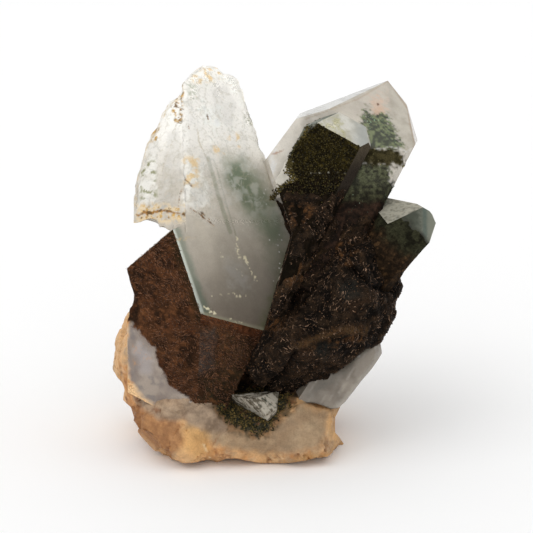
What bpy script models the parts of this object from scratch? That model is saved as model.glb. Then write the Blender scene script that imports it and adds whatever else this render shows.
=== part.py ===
# Chlorite quartz: a natural cluster of quartz crystals on a piece of its vein rock.
# Metres, +Z up.  The origin is at the centre of the bottom of the whole piece,
# on the surface that it stands on.
#
# Every crystal is the solid that its own flat faces enclose.  Quartz keeps its
# face angles whatever its habit, so a crystal is given by where it stands, how
# it leans and how far each face lies from its reference point.
import math
import random

import bmesh
import bpy
from mathutils import Vector

# ---------------------------------------------------------------- dimensions
MM = 0.001
GAP = 0.3            # mm, clearance between pieces that only rest in each other
PYRAMID = 51.8       # degrees from the long axis to the normal of a tip face
VIEW_RISE = 14.0     # degrees: the leans below are read looking along +Y from
                     # this far above level
SHIFT = (-0.83, -3.535, 0.0)   # mm, brings the middle of the piece over the origin

# A crystal: ref = its reference point in mm, turn = its long axis clockwise
# from upright, lean = how far its top goes back, roll = turn about its own
# axis, depth = how much it is flattened front to back (1 = not at all).
# A face: kind, azimuth in degrees about the long axis (0 = front, 90 = right),
# distance in mm from ref.  "side" is a prism face, "tip" a face of the upper
# pyramid, "foot" one of the lower pyramid, "root" a cut square to the axis.
# A break: turn and rise of its normal, distance in mm.
CRYSTALS = {
    "broad": dict(
        ref=(-10.4, -11.0, 25.0), turn=-18.8, lean=22.0, roll=1.9, depth=0.4,
        faces=[("side", 0, 0.0), ("side", 60, 0.0), ("side", 120, 22.0), ("side", 180, 17.8),
               ("side", 240, 14.5), ("side", 300, 5.1), ("foot", 0, 0.0), ("foot", 60, 0.0),
               ("foot", 120, 11.7), ("foot", 180, 15.6), ("foot", 240, 17.0), ("foot", 300, 4.6)],
        breaks=[(-90.4, 5.4, 11.6), (-40.7, 3.5, 13.1), (-25.1, 2.8, 14.0)]),
    "broad_top": dict(
        ref=(-10.4, -11.0, 25.0), turn=-18.8, lean=22.0, roll=1.9, depth=0.4,
        faces=[("side", 60, 0.2), ("side", 120, 22.2), ("side", 180, 17.4), ("side", 240, 12.6),
               ("foot", 120, 12.0)],
        breaks=[(-58.0, 58.0, 1.8), (-90.0, 5.1, 10.6), (-74.2, 5.7, 15.5), (-61.1, 6.4, 20.6),
                (-55.0, 6.7, 23.2), (-39.1, 7.6, 30.2), (6.7, 7.4, 38.9), (24.4, 6.2, 36.6),
                (-168.1, -0.6, -11.9)]),
    "right": dict(
        ref=(20.8, 17.4, 58.5), turn=28.1, lean=18.0, roll=1.4, depth=0.8,
        faces=[("tip", 0, 0.0), ("tip", 60, 2.1), ("tip", 120, 0.0), ("tip", 180, 0.0),
               ("tip", 240, 0.0), ("tip", 300, 0.0), ("side", 0, 9.4), ("side", 60, 11.7),
               ("side", 120, 6.0), ("side", 180, 7.0), ("side", 240, 16.2), ("side", 300, 14.9),
               ("root", 0, 42.6)],
        breaks=[(-53.3, 2.5, 8.7), (-20.8, 5.0, 0.1), (117.4, 2.9, 9.2)]),
    "front": dict(
        ref=(8.2, -1.1, 53.9), turn=28.1, lean=18.0, roll=1.4, depth=0.8,
        faces=[("tip", 0, 0.0), ("tip", 60, 6.5), ("tip", 180, 5.3), ("tip", 300, 0.1),
               ("side", 0, 0.0), ("side", 60, 6.4), ("side", 120, 9.0), ("side", 180, 15.5),
               ("side", 240, 1.6), ("side", 300, 1.0), ("root", 0, 29.7)],
        breaks=[]),
    "leaning": dict(
        ref=(19.5, -4.2, 38.1), turn=39.0, lean=-10.0, roll=-6.0, depth=0.9,
        faces=[("tip", 0, 0.0), ("tip", 60, 5.1), ("tip", 240, 7.5), ("tip", 300, 0.0),
               ("side", 0, 0.0), ("side", 60, 5.1), ("side", 120, 6.7), ("side", 180, 12.8),
               ("side", 240, 8.9), ("side", 300, 0.0), ("root", 0, 24.9)],
        breaks=[(11.6, 3.5, 4.1), (29.7, 5.0, 5.1), (66.8, 6.7, 7.1)]),
    "coated": dict(
        ref=(13.5, -10.5, 33.3), turn=36.0, lean=2.0, roll=-8.0, depth=0.85,
        faces=[("tip", 0, 0.0), ("tip", 60, 1.7), ("tip", 120, 11.9), ("tip", 240, 9.6),
               ("tip", 300, 1.2), ("side", 0, 0.0), ("side", 60, 4.9), ("side", 180, 19.5),
               ("side", 240, 14.1), ("side", 300, 1.6), ("foot", 0, 10.0), ("foot", 60, 11.0),
               ("foot", 300, 14.4)],
        breaks=[(118.3, 5.3, 9.9), (98.1, 5.2, 8.1), (141.0, 4.9, 12.1), (144.8, 4.8, 12.5),
                (-142.0, 3.7, 23.9), (165.4, 5.3, 18.7)]),
    "low_right": dict(
        ref=(16.1, -8.3, 17.2), turn=34.0, lean=4.0, roll=-10.0, depth=0.9,
        faces=[("side", 0, 0.0), ("side", 60, 1.0), ("side", 180, 12.2), ("side", 240, 8.2),
               ("side", 300, 4.5), ("tip", 60, 1.4), ("tip", 300, 3.4), ("root", 0, 13.7)],
        breaks=[(124.9, 5.6, 1.9), (79.7, 3.8, 2.6), (18.0, -1.5, 2.7)]),
    "back_left": dict(
        ref=(-5.4, 21.5, 45.8), turn=-6.0, lean=24.0, roll=10.0, depth=0.9,
        faces=[("tip", 0, 0.0), ("tip", 60, 0.4), ("tip", 120, 0.2), ("tip", 180, 0.0),
               ("tip", 240, 0.6), ("tip", 300, 0.3), ("side", 0, 6.5), ("side", 60, 7.5),
               ("side", 120, 6.5), ("side", 180, 7.0), ("side", 240, 8.0), ("side", 300, 7.0),
               ("root", 0, 40.0)],
        breaks=[]),
    "back_right": dict(
        ref=(11.2, 17.7, 34.9), turn=20.0, lean=14.0, roll=25.0, depth=0.9,
        faces=[("tip", 0, 0.0), ("tip", 60, 0.3), ("tip", 120, 0.2), ("tip", 180, 0.5),
               ("tip", 240, 0.1), ("tip", 300, 0.3), ("side", 0, 6.0), ("side", 60, 6.5),
               ("side", 120, 5.5), ("side", 180, 6.5), ("side", 240, 6.0), ("side", 300, 5.5),
               ("root", 0, 31.0)],
        breaks=[]),
    "back_low": dict(
        ref=(-16.1, 15.5, 21.9), turn=-30.0, lean=10.0, roll=5.0, depth=0.9,
        faces=[("tip", 0, 0.0), ("tip", 60, 0.3), ("tip", 120, 0.2), ("tip", 180, 0.5),
               ("tip", 240, 0.1), ("tip", 300, 0.3), ("side", 0, 4.5), ("side", 60, 5.0),
               ("side", 120, 4.5), ("side", 180, 5.0), ("side", 240, 4.5), ("side", 300, 4.2),
               ("root", 0, 20.0)],
        breaks=[]),
}
POCKET_CRYSTAL = dict(
    ref=(2.0, -7.4, 11.0), turn=42.0, lean=22.0, roll=0.0, depth=1.0,
    faces=[("tip", 0, 0.0), ("tip", 60, 0.0), ("tip", 120, 0.0), ("tip", 180, 0.0),
           ("tip", 240, 0.0), ("tip", 300, 0.0), ("side", 0, 5.3), ("side", 60, 2.7),
           ("side", 120, 1.1), ("side", 180, 2.6), ("side", 240, 5.2), ("side", 300, 5.7),
           ("root", 0, 6.0)],
    breaks=[])
# The broad crystal stands clear in front of these, seen from the eye point.
BEHIND_BROAD = ("coated", "right", "front", "leaning", "back_left", "back_right", "back_low")
EYE = ((0.0, 0.0, 30.0), 244.0)   # mm, the point looked at and the eye's distance

# Vein rock: blocky lumps grown into one another, centre and half sizes in mm.
# The last number seeds the chipping of that lump.
ROCK_LUMPS = [
    ((-18.2, 3.5, 12.5), (5.7, 11.5, 10.0), 3),
    ((-12.9, -3.0, 5.4), (9.0, 12.4, 6.8), 7),
    ((-3.5, -3.4, 3.8), (9.2, 11.6, 5.8), 11),
    ((4.2, -3.2, 4.2), (8.2, 11.4, 6.6), 16),
    ((-1.5, 10.0, 8.0), (15.0, 8.0, 9.0), 21),
]
ROCK_FACES = 30       # chips a lump
ROCK_ARCH = ((-6.5, -15.0, -0.7), (3.2, 7.0, 1.9))   # hollow under the front edge

COLOURS = {
    "crystal_cluster": ((0.42, 0.40, 0.34, 1.0), 0.22),
    "matrix_rock": ((0.72, 0.52, 0.33, 1.0), 0.75),
    "pocket_crystal": ((0.72, 0.74, 0.72, 1.0), 0.12),
}


# ------------------------------------------------------------------ geometry
def view_axes():
    r = math.radians(VIEW_RISE)
    return (Vector((1, 0, 0)), Vector((0, math.sin(r), math.cos(r))), Vector((0, -math.cos(r), math.sin(r))))


def from_view(v):
    right, up, near = view_axes()
    return right * v[0] + up * v[1] + near * v[2]


def hull(bm, name):
    """Mesh object of the convex hull of the vertices in bm."""
    made = bmesh.ops.convex_hull(bm, input=bm.verts)
    inside = [v for v in made["geom_interior"] if isinstance(v, bmesh.types.BMVert)]
    bmesh.ops.delete(bm, geom=inside, context="VERTS")
    bmesh.ops.recalc_face_normals(bm, faces=bm.faces)
    mesh = bpy.data.meshes.new(name)
    bm.to_mesh(mesh)
    bm.free()
    ob = bpy.data.objects.new(name, mesh)
    bpy.context.scene.collection.objects.link(ob)
    return ob


def crystal_planes(c, grow=0.0):
    """Outward normals and distances from the origin, mm, of one crystal's faces."""
    turn, lean = math.radians(c["turn"]), math.radians(c["lean"])
    sx, sy = math.sin(turn), math.cos(turn)
    axis = Vector((sx * math.cos(lean), sy * math.cos(lean), -math.sin(lean)))
    front = Vector((sx * math.sin(lean), sy * math.sin(lean), math.cos(lean)))
    side = Vector((sy, -sx, 0.0))
    ref = Vector(c["ref"])
    tilt = math.radians(PYRAMID)
    out = []
    for kind, azimuth, dist in c["faces"]:
        a = math.radians(azimuth + c["roll"])
        level = front * math.cos(a) + side * math.sin(a)
        n = {"side": level, "root": -axis,
             "tip": level * math.sin(tilt) + axis * math.cos(tilt),
             "foot": level * math.sin(tilt) - axis * math.cos(tilt)}[kind]
        n = from_view(Vector((n.x, n.y, n.z / c["depth"]))).normalized()
        out.append((n, n.dot(ref) + dist + grow))
    for turn_deg, rise_deg, dist in c["breaks"]:
        t, e = math.radians(turn_deg), math.radians(rise_deg)
        n = from_view(Vector((math.sin(t) * math.cos(e), math.cos(t) * math.cos(e), math.sin(e)))).normalized()
        out.append((n, n.dot(ref) + dist + grow))
    return out


def space_before(solids, name):
    """The space between some solids and the eye, inside their outline."""
    eye = Vector(EYE[0]) + view_axes()[2] * EYE[1]
    bm = bmesh.new()
    for ob in solids:
        for v in ob.data.vertices:
            for part in (0.997, 0.75):
                bm.verts.new((eye + (v.co / MM - eye) * part) * MM)
    return hull(bm, name)


def lump_planes(centre, half, seed, faces):
    """A chipped lump: planes around a half-size box-like ellipsoid, jittered."""
    rng = random.Random(seed)
    c = Vector(centre)
    out = []
    for i in range(faces):
        z = 1.0 - 2.0 * (i + 0.5) / faces
        a = i * math.pi * (3.0 - math.sqrt(5.0)) + seed
        r = math.sqrt(1.0 - z * z)
        n = Vector((r * math.cos(a), r * math.sin(a), z))
        round_reach = math.sqrt(sum((n[k] * half[k]) ** 2 for k in range(3)))
        block_reach = sum(abs(n[k]) * half[k] for k in range(3))
        reach = 0.8 * round_reach + 0.2 * block_reach
        out.append((n, n.dot(c) + reach * rng.uniform(0.88, 1.0)))
    return out


def enclosed(planes, name):
    """Mesh object of the solid that the planes enclose."""
    corners = []
    count = len(planes)
    for i in range(count):
        for j in range(i + 1, count):
            line = planes[i][0].cross(planes[j][0])
            if line.length < 1e-6:
                continue
            for k in range(j + 1, count):
                (n1, d1), (n2, d2), (n3, d3) = planes[i], planes[j], planes[k]
                det = n1.dot(n2.cross(n3))
                if abs(det) < 1e-6:
                    continue
                p = (n2.cross(n3) * d1 + n3.cross(n1) * d2 + n1.cross(n2) * d3) / det
                if all(n.dot(p) <= d + 1e-4 for n, d in planes):
                    if all((p - q).length > 0.02 for q in corners):
                        corners.append(p)
    bm = bmesh.new()
    for p in corners:
        bm.verts.new(p * MM)
    return hull(bm, name)


def combine(target, operation, others):
    """Boolean of target with each of the others, which are then removed."""
    for other in others:
        other.hide_render = True
        other.display_type = "WIRE"
        mod = target.modifiers.new("bool", "BOOLEAN")
        mod.operation = operation
        mod.solver = "EXACT"
        mod.object = other
        bpy.context.view_layer.update()
        graph = bpy.context.evaluated_depsgraph_get()
        mesh = bpy.data.meshes.new_from_object(target.evaluated_get(graph))
        target.modifiers.clear()
        target.data = mesh
        bpy.data.objects.remove(other, do_unlink=True)
    return target


def main_body(bm):
    """Remove chips that the cuts left loose, keeping the largest body."""
    left, bodies = set(bm.verts), []
    while left:
        stack = [left.pop()]
        body = list(stack)
        while stack:
            v = stack.pop()
            for e in v.link_edges:
                w = e.other_vert(v)
                if w in left:
                    left.remove(w)
                    body.append(w)
                    stack.append(w)
        bodies.append(body)
    bodies.sort(key=len)
    for body in bodies[:-1]:
        bmesh.ops.delete(bm, geom=body, context="VERTS")


def tidy(ob):
    """Merge coplanar facets, drop slivers and loose chips."""
    bm = bmesh.new()
    bm.from_mesh(ob.data)
    bmesh.ops.remove_doubles(bm, verts=bm.verts, dist=0.00002)
    bmesh.ops.dissolve_limit(bm, angle_limit=math.radians(0.2), verts=bm.verts, edges=bm.edges)
    bmesh.ops.triangulate(bm, faces=bm.faces)
    main_body(bm)
    bmesh.ops.recalc_face_normals(bm, faces=bm.faces)
    bm.to_mesh(ob.data)
    bm.free()
    ob.data.name = ob.name


def finish(ob):
    colour, rough = COLOURS[ob.name]
    mat = bpy.data.materials.new(ob.name)
    mat.use_nodes = True
    shader = mat.node_tree.nodes["Principled BSDF"]
    shader.inputs["Base Color"].default_value = colour
    shader.inputs["Roughness"].default_value = rough
    shader.inputs["Metallic"].default_value = 0.0
    ob.data.materials.clear()
    ob.data.materials.append(mat)
    for v in ob.data.vertices:
        v.co += Vector(SHIFT) * MM
    ob.data.update()


def block(name, low, high):
    bm = bmesh.new()
    bmesh.ops.create_cube(bm, size=1.0)
    for v in bm.verts:
        v.co = Vector([(low[k] if v.co[k] < 0 else high[k]) * MM for k in range(3)])
    mesh = bpy.data.meshes.new(name)
    bm.to_mesh(mesh)
    bm.free()
    ob = bpy.data.objects.new(name, mesh)
    bpy.context.scene.collection.objects.link(ob)
    return ob


def main():
    for ob in list(bpy.data.objects):
        bpy.data.objects.remove(ob, do_unlink=True)

    solids = {name: enclosed(crystal_planes(c), name) for name, c in CRYSTALS.items()}
    behind = [solids.pop(name) for name in BEHIND_BROAD]
    combine(behind[0], "UNION", behind[1:])
    combine(behind[0], "DIFFERENCE", [space_before([solids["broad"], solids["broad_top"]], "space_before")])
    cluster = solids.pop("broad")
    combine(cluster, "UNION", [behind[0]] + list(solids.values()))
    combine(cluster, "DIFFERENCE", [enclosed(crystal_planes(POCKET_CRYSTAL, GAP), "pocket_room")])
    combine(cluster, "DIFFERENCE", [block("below", (-60, -60, -30), (60, 60, 2.2))])
    cluster.name = "crystal_cluster"
    tidy(cluster)

    lumps = [enclosed(lump_planes(c, h, s, ROCK_FACES), f"lump_{i}") for i, (c, h, s) in enumerate(ROCK_LUMPS)]
    rock = lumps[0]
    combine(rock, "UNION", lumps[1:])
    sockets = [enclosed(crystal_planes(c, GAP), f"socket_{name}") for name, c in CRYSTALS.items()]
    sockets.append(enclosed(crystal_planes(POCKET_CRYSTAL, GAP), "socket_pocket"))
    sockets.append(enclosed(lump_planes(*ROCK_ARCH, 5, 20), "arch"))
    sockets.append(block("floor_cut", (-60, -60, -30), (60, 60, 0)))
    combine(rock, "DIFFERENCE", sockets)
    rock.name = "matrix_rock"
    tidy(rock)

    pocket = enclosed(crystal_planes(POCKET_CRYSTAL), "pocket_crystal")
    tidy(pocket)

    for ob in (cluster, rock, pocket):
        finish(ob)


main()
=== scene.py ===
# Looks of the chlorite quartz specimen: clear, milky and chlorite-coated quartz
# crystals on cream to orange vein rock.  Lengths below are millimetres unless
# a name says otherwise; meshes are written in metres in the row's frame.
import math
import random

import bmesh
import bpy
import numpy as np
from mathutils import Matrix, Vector, geometry
from mathutils.bvhtree import BVHTree

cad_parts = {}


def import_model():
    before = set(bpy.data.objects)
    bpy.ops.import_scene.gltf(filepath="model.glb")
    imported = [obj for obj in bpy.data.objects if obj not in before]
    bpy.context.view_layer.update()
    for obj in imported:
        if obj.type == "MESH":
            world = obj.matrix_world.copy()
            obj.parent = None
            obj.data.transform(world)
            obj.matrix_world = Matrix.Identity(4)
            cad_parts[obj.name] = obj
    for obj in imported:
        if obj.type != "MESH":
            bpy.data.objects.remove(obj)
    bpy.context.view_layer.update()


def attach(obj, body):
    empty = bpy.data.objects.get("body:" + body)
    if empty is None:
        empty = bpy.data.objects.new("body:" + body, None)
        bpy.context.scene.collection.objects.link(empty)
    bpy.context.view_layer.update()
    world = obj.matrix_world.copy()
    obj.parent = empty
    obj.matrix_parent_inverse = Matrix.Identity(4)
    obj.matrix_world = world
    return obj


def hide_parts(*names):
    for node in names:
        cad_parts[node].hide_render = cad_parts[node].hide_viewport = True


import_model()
MM = 0.001

# ------------------------------------------------------- the crystals' shapes
PYRAMID = 51.8
VIEW_RISE = 14.0
SHIFT = np.array((-0.83, -3.535, 0.0))
EYE_TARGET, EYE_DISTANCE = np.array((0.0, 0.0, 30.0)), 244.0
LENS_PX = 533 * 100 / 36.0

CRYSTALS = {
    "broad": dict(
        ref=(-10.4, -11.0, 25.0), turn=-18.8, lean=22.0, roll=1.9, depth=0.4,
        faces=[("side", 0, 0.0), ("side", 60, 0.0), ("side", 120, 22.0), ("side", 180, 17.8),
               ("side", 240, 14.5), ("side", 300, 5.1), ("foot", 0, 0.0), ("foot", 60, 0.0),
               ("foot", 120, 11.7), ("foot", 180, 15.6), ("foot", 240, 17.0), ("foot", 300, 4.6)],
        breaks=[(-90.4, 5.4, 11.6), (-40.7, 3.5, 13.1), (-25.1, 2.8, 14.0)]),
    "broad_top": dict(
        prefix="top", ref=(-10.4, -11.0, 25.0), turn=-18.8, lean=22.0, roll=1.9, depth=0.4,
        faces=[("side", 60, 0.2), ("side", 120, 22.2), ("side", 180, 17.4), ("side", 240, 12.6),
               ("foot", 120, 12.0)],
        breaks=[(-58.0, 58.0, 1.8), (-90.0, 5.1, 10.6), (-74.2, 5.7, 15.5), (-61.1, 6.4, 20.6),
                (-55.0, 6.7, 23.2), (-39.1, 7.6, 30.2), (6.7, 7.4, 38.9), (24.4, 6.2, 36.6),
                (-168.1, -0.6, -11.9)]),
    "right": dict(
        ref=(20.8, 17.4, 58.5), turn=28.1, lean=18.0, roll=1.4, depth=0.8,
        faces=[("tip", 0, 0.0), ("tip", 60, 2.1), ("tip", 120, 0.0), ("tip", 180, 0.0),
               ("tip", 240, 0.0), ("tip", 300, 0.0), ("side", 0, 9.4), ("side", 60, 11.7),
               ("side", 120, 6.0), ("side", 180, 7.0), ("side", 240, 16.2), ("side", 300, 14.9),
               ("root", 0, 42.6)],
        breaks=[(-53.3, 2.5, 8.7), (-20.8, 5.0, 0.1), (117.4, 2.9, 9.2)]),
    "front": dict(
        ref=(8.2, -1.1, 53.9), turn=28.1, lean=18.0, roll=1.4, depth=0.8,
        faces=[("tip", 0, 0.0), ("tip", 60, 6.5), ("tip", 180, 5.3), ("tip", 300, 0.1),
               ("side", 0, 0.0), ("side", 60, 6.4), ("side", 120, 9.0), ("side", 180, 15.5),
               ("side", 240, 1.6), ("side", 300, 1.0), ("root", 0, 29.7)],
        breaks=[]),
    "leaning": dict(
        ref=(19.5, -4.2, 38.1), turn=39.0, lean=-10.0, roll=-6.0, depth=0.9,
        faces=[("tip", 0, 0.0), ("tip", 60, 5.1), ("tip", 240, 7.5), ("tip", 300, 0.0),
               ("side", 0, 0.0), ("side", 60, 5.1), ("side", 120, 6.7), ("side", 180, 12.8),
               ("side", 240, 8.9), ("side", 300, 0.0), ("root", 0, 24.9)],
        breaks=[(11.6, 3.5, 4.1), (29.7, 5.0, 5.1), (66.8, 6.7, 7.1)]),
    "coated": dict(
        ref=(13.5, -10.5, 33.3), turn=36.0, lean=2.0, roll=-8.0, depth=0.85,
        faces=[("tip", 0, 0.0), ("tip", 60, 1.7), ("tip", 120, 11.9), ("tip", 240, 9.6),
               ("tip", 300, 1.2), ("side", 0, 0.0), ("side", 60, 4.9), ("side", 180, 19.5),
               ("side", 240, 14.1), ("side", 300, 1.6), ("foot", 0, 10.0), ("foot", 60, 11.0),
               ("foot", 300, 14.4)],
        breaks=[(118.3, 5.3, 9.9), (98.1, 5.2, 8.1), (141.0, 4.9, 12.1), (144.8, 4.8, 12.5),
                (-142.0, 3.7, 23.9), (165.4, 5.3, 18.7)]),
    "low_right": dict(
        ref=(16.1, -8.3, 17.2), turn=34.0, lean=4.0, roll=-10.0, depth=0.9,
        faces=[("side", 0, 0.0), ("side", 60, 1.0), ("side", 180, 12.2), ("side", 240, 8.2),
               ("side", 300, 4.5), ("tip", 60, 1.4), ("tip", 300, 3.4), ("root", 0, 13.7)],
        breaks=[(124.9, 5.6, 1.9), (79.7, 3.8, 2.6), (18.0, -1.5, 2.7)]),
    "back_left": dict(
        ref=(-5.4, 21.5, 45.8), turn=-6.0, lean=24.0, roll=10.0, depth=0.9,
        faces=[("tip", 0, 0.0), ("tip", 60, 0.4), ("tip", 120, 0.2), ("tip", 180, 0.0),
               ("tip", 240, 0.6), ("tip", 300, 0.3), ("side", 0, 6.5), ("side", 60, 7.5),
               ("side", 120, 6.5), ("side", 180, 7.0), ("side", 240, 8.0), ("side", 300, 7.0),
               ("root", 0, 40.0)],
        breaks=[]),
    "back_right": dict(
        ref=(11.2, 17.7, 34.9), turn=20.0, lean=14.0, roll=25.0, depth=0.9,
        faces=[("tip", 0, 0.0), ("tip", 60, 0.3), ("tip", 120, 0.2), ("tip", 180, 0.5),
               ("tip", 240, 0.1), ("tip", 300, 0.3), ("side", 0, 6.0), ("side", 60, 6.5),
               ("side", 120, 5.5), ("side", 180, 6.5), ("side", 240, 6.0), ("side", 300, 5.5),
               ("root", 0, 31.0)],
        breaks=[]),
    "back_low": dict(
        ref=(-16.1, 15.5, 21.9), turn=-30.0, lean=10.0, roll=5.0, depth=0.9,
        faces=[("tip", 0, 0.0), ("tip", 60, 0.3), ("tip", 120, 0.2), ("tip", 180, 0.5),
               ("tip", 240, 0.1), ("tip", 300, 0.3), ("side", 0, 4.5), ("side", 60, 5.0),
               ("side", 120, 4.5), ("side", 180, 5.0), ("side", 240, 4.5), ("side", 300, 4.2),
               ("root", 0, 20.0)],
        breaks=[]),
}
POCKET_CRYSTAL = dict(
    ref=(2.0, -7.4, 11.0), turn=42.0, lean=22.0, roll=0.0, depth=1.0,
    faces=[("tip", 0, 0.0), ("tip", 60, 0.0), ("tip", 120, 0.0), ("tip", 180, 0.0),
           ("tip", 240, 0.0), ("tip", 300, 0.0), ("side", 0, 5.3), ("side", 60, 2.7),
           ("side", 120, 1.1), ("side", 180, 2.6), ("side", 240, 5.2), ("side", 300, 5.7),
           ("root", 0, 6.0)],
    breaks=[])
ROCK_LUMPS = [
    ((-18.2, 3.5, 12.5), (5.7, 11.5, 10.0), 3),
    ((-12.9, -3.0, 5.4), (9.0, 12.4, 6.8), 7),
    ((-3.5, -3.4, 3.8), (9.2, 11.6, 5.8), 11),
    ((4.2, -3.2, 4.2), (8.2, 11.4, 6.6), 16),
    ((-1.5, 10.0, 8.0), (15.0, 8.0, 9.0), 21),
]
ROCK_FACES = 30


# --------------------------------------------------------------------- noise
def hash3(i, j, k, seed):
    h = (i.astype(np.int64) * 374761393 + j.astype(np.int64) * 668265263
         + k.astype(np.int64) * 2147483647 + np.int64(seed) * 974634777) & 0xFFFFFFFF
    h = ((h ^ (h >> 13)) * 1274126177) & 0xFFFFFFFF
    h = ((h ^ (h >> 16)) * 2246822519) & 0xFFFFFFFF
    return ((h ^ (h >> 15)) & 0xFFFFFF) / float(0xFFFFFF)


def noise(p, size, seed=0):
    """Smooth value noise, about -1 to 1, with cells of that size."""
    q = np.asarray(p, float) / size
    f = np.floor(q)
    t = q - f
    t = t * t * t * (t * (t * 6 - 15) + 10)
    i, j, k = f[:, 0], f[:, 1], f[:, 2]
    out = 0.0
    for a in (0, 1):
        wa = t[:, 0] if a else 1 - t[:, 0]
        for b in (0, 1):
            wb = t[:, 1] if b else 1 - t[:, 1]
            for c in (0, 1):
                wc = t[:, 2] if c else 1 - t[:, 2]
                out = out + wa * wb * wc * hash3(i + a, j + b, k + c, seed)
    return out * 2.0 - 1.0


def fbm(p, size, seed=0, octaves=4, gain=0.5):
    out, amp, total = 0.0, 1.0, 0.0
    for o in range(octaves):
        out = out + amp * noise(p, size / 2.0 ** o, seed + 17 * o)
        total += amp
        amp *= gain
    return out / total


def cells(p, size, seed=0):
    """Distances to the nearest and second nearest cell point, and a number per cell."""
    q = np.asarray(p, float) / size
    base = np.floor(q)
    best = np.full(len(q), 9.0)
    second = np.full(len(q), 9.0)
    ident = np.zeros(len(q))
    for a in (-1, 0, 1):
        for b in (-1, 0, 1):
            for c in (-1, 0, 1):
                g = base + (a, b, c)
                o = np.stack([hash3(g[:, 0], g[:, 1], g[:, 2], seed + s) for s in (1, 2, 3)], 1)
                d = np.linalg.norm(g + o - q, axis=1)
                near = d < best
                second = np.where(near, best, np.minimum(second, d))
                ident = np.where(near, hash3(g[:, 0], g[:, 1], g[:, 2], seed + 9), ident)
                best = np.where(near, d, best)
    return best, second, ident


def smooth(x, low, high):
    t = np.clip((x - low) / (high - low), 0.0, 1.0)
    return t * t * (3 - 2 * t)


def mix(a, b, t):
    """Blend of two colours, or of arrays of colours, by a number or one for each."""
    t = np.asarray(t, float)
    if t.ndim:
        t = t[:, None]
    return np.asarray(a) * (1 - t) + np.asarray(b) * t


def lerp(a, b, t):
    return a * (1 - t) + b * t


def lin(r, g, b):
    """Linear colour of an 8-bit display colour."""
    return np.array([((c / 255.0 + 0.055) / 1.055) ** 2.4 if c > 10.3 else c / 255.0 / 12.92 for c in (r, g, b)])


# ------------------------------------------------------------- view of outlines
RISE = math.radians(VIEW_RISE)
RIGHT = np.array((1.0, 0.0, 0.0))
UP = np.array((0.0, math.sin(RISE), math.cos(RISE)))
NEAR = np.array((0.0, -math.cos(RISE), math.sin(RISE)))
EYE = EYE_TARGET + NEAR * EYE_DISTANCE + SHIFT


def outline_xy(p):
    """Where points of the row frame fall on the plate the outlines are drawn on."""
    v = np.asarray(p, float) - SHIFT - EYE_TARGET
    x, y, z = v @ RIGHT, v @ UP, v @ NEAR
    s = LENS_PX / (EYE_DISTANCE - z)
    return 266.5 + x * s, 266.5 - y * s


def within(poly, x, y):
    """Signed distance to a closed outline, positive inside."""
    poly = np.asarray(poly, float)
    inside = np.zeros(len(x), bool)
    dist = np.full(len(x), 1e9)
    for (ax, ay), (bx, by) in zip(poly, np.roll(poly, -1, 0)):
        ex, ey = bx - ax, by - ay
        t = np.clip(((x - ax) * ex + (y - ay) * ey) / (ex * ex + ey * ey + 1e-12), 0, 1)
        dist = np.minimum(dist, np.hypot(x - ax - t * ex, y - ay - t * ey))
        cross = (ay > y) != (by > y)
        with np.errstate(divide="ignore", invalid="ignore"):
            inside ^= cross & (x < ex * (y - ay) / (by - ay) + ax)
    return np.where(inside, dist, -dist)


def along(line, x, y):
    """Distance to an open line."""
    line = np.asarray(line, float)
    dist = np.full(len(x), 1e9)
    for (ax, ay), (bx, by) in zip(line[:-1], line[1:]):
        ex, ey = bx - ax, by - ay
        t = np.clip(((x - ax) * ex + (y - ay) * ey) / (ex * ex + ey * ey + 1e-12), 0, 1)
        dist = np.minimum(dist, np.hypot(x - ax - t * ex, y - ay - t * ey))
    return dist


# ------------------------------------------------------------- coarse solids
def crystal_planes(c, grow=0.0):
    turn, lean = math.radians(c["turn"]), math.radians(c["lean"])
    sx, sy = math.sin(turn), math.cos(turn)
    axis = np.array((sx * math.cos(lean), sy * math.cos(lean), -math.sin(lean)))
    front = np.array((sx * math.sin(lean), sy * math.sin(lean), math.cos(lean)))
    side = np.array((sy, -sx, 0.0))
    ref = np.array(c["ref"]) + SHIFT
    tilt = math.radians(PYRAMID)
    out = []
    for kind, azimuth, dist in c["faces"]:
        a = math.radians(azimuth + c["roll"])
        level = front * math.cos(a) + side * math.sin(a)
        n = {"side": level, "root": -axis,
             "tip": level * math.sin(tilt) + axis * math.cos(tilt),
             "foot": level * math.sin(tilt) - axis * math.cos(tilt)}[kind]
        n = RIGHT * n[0] + UP * n[1] + NEAR * n[2] / c["depth"]
        n /= np.linalg.norm(n)
        out.append((n, n @ ref + dist + grow, f"{kind}{azimuth}"))
    for i, (turn_deg, rise_deg, dist) in enumerate(c["breaks"]):
        t, e = math.radians(turn_deg), math.radians(rise_deg)
        n = RIGHT * math.sin(t) * math.cos(e) + UP * math.cos(t) * math.cos(e) + NEAR * math.sin(e)
        n /= np.linalg.norm(n)
        out.append((n, n @ ref + dist + grow, f"{c.get('prefix', '')}break{i}"))
    return out


def long_axis(c):
    turn, lean = math.radians(c["turn"]), math.radians(c["lean"])
    a = np.array((math.sin(turn) * math.cos(lean), math.cos(turn) * math.cos(lean), -math.sin(lean)))
    a = RIGHT * a[0] + UP * a[1] + NEAR * a[2]
    return a / np.linalg.norm(a)


def lump_planes(centre, half, seed, faces):
    rng = random.Random(seed)
    c = np.array(centre, float) + SHIFT
    out = []
    for i in range(faces):
        z = 1.0 - 2.0 * (i + 0.5) / faces
        a = i * math.pi * (3.0 - math.sqrt(5.0)) + seed
        r = math.sqrt(1.0 - z * z)
        n = np.array((r * math.cos(a), r * math.sin(a), z))
        round_reach = math.sqrt(sum((n[k] * half[k]) ** 2 for k in range(3)))
        block_reach = sum(abs(n[k]) * half[k] for k in range(3))
        reach = 0.8 * round_reach + 0.2 * block_reach
        out.append((n, n @ c + reach * rng.uniform(0.88, 1.0), "rock"))
    return out


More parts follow.
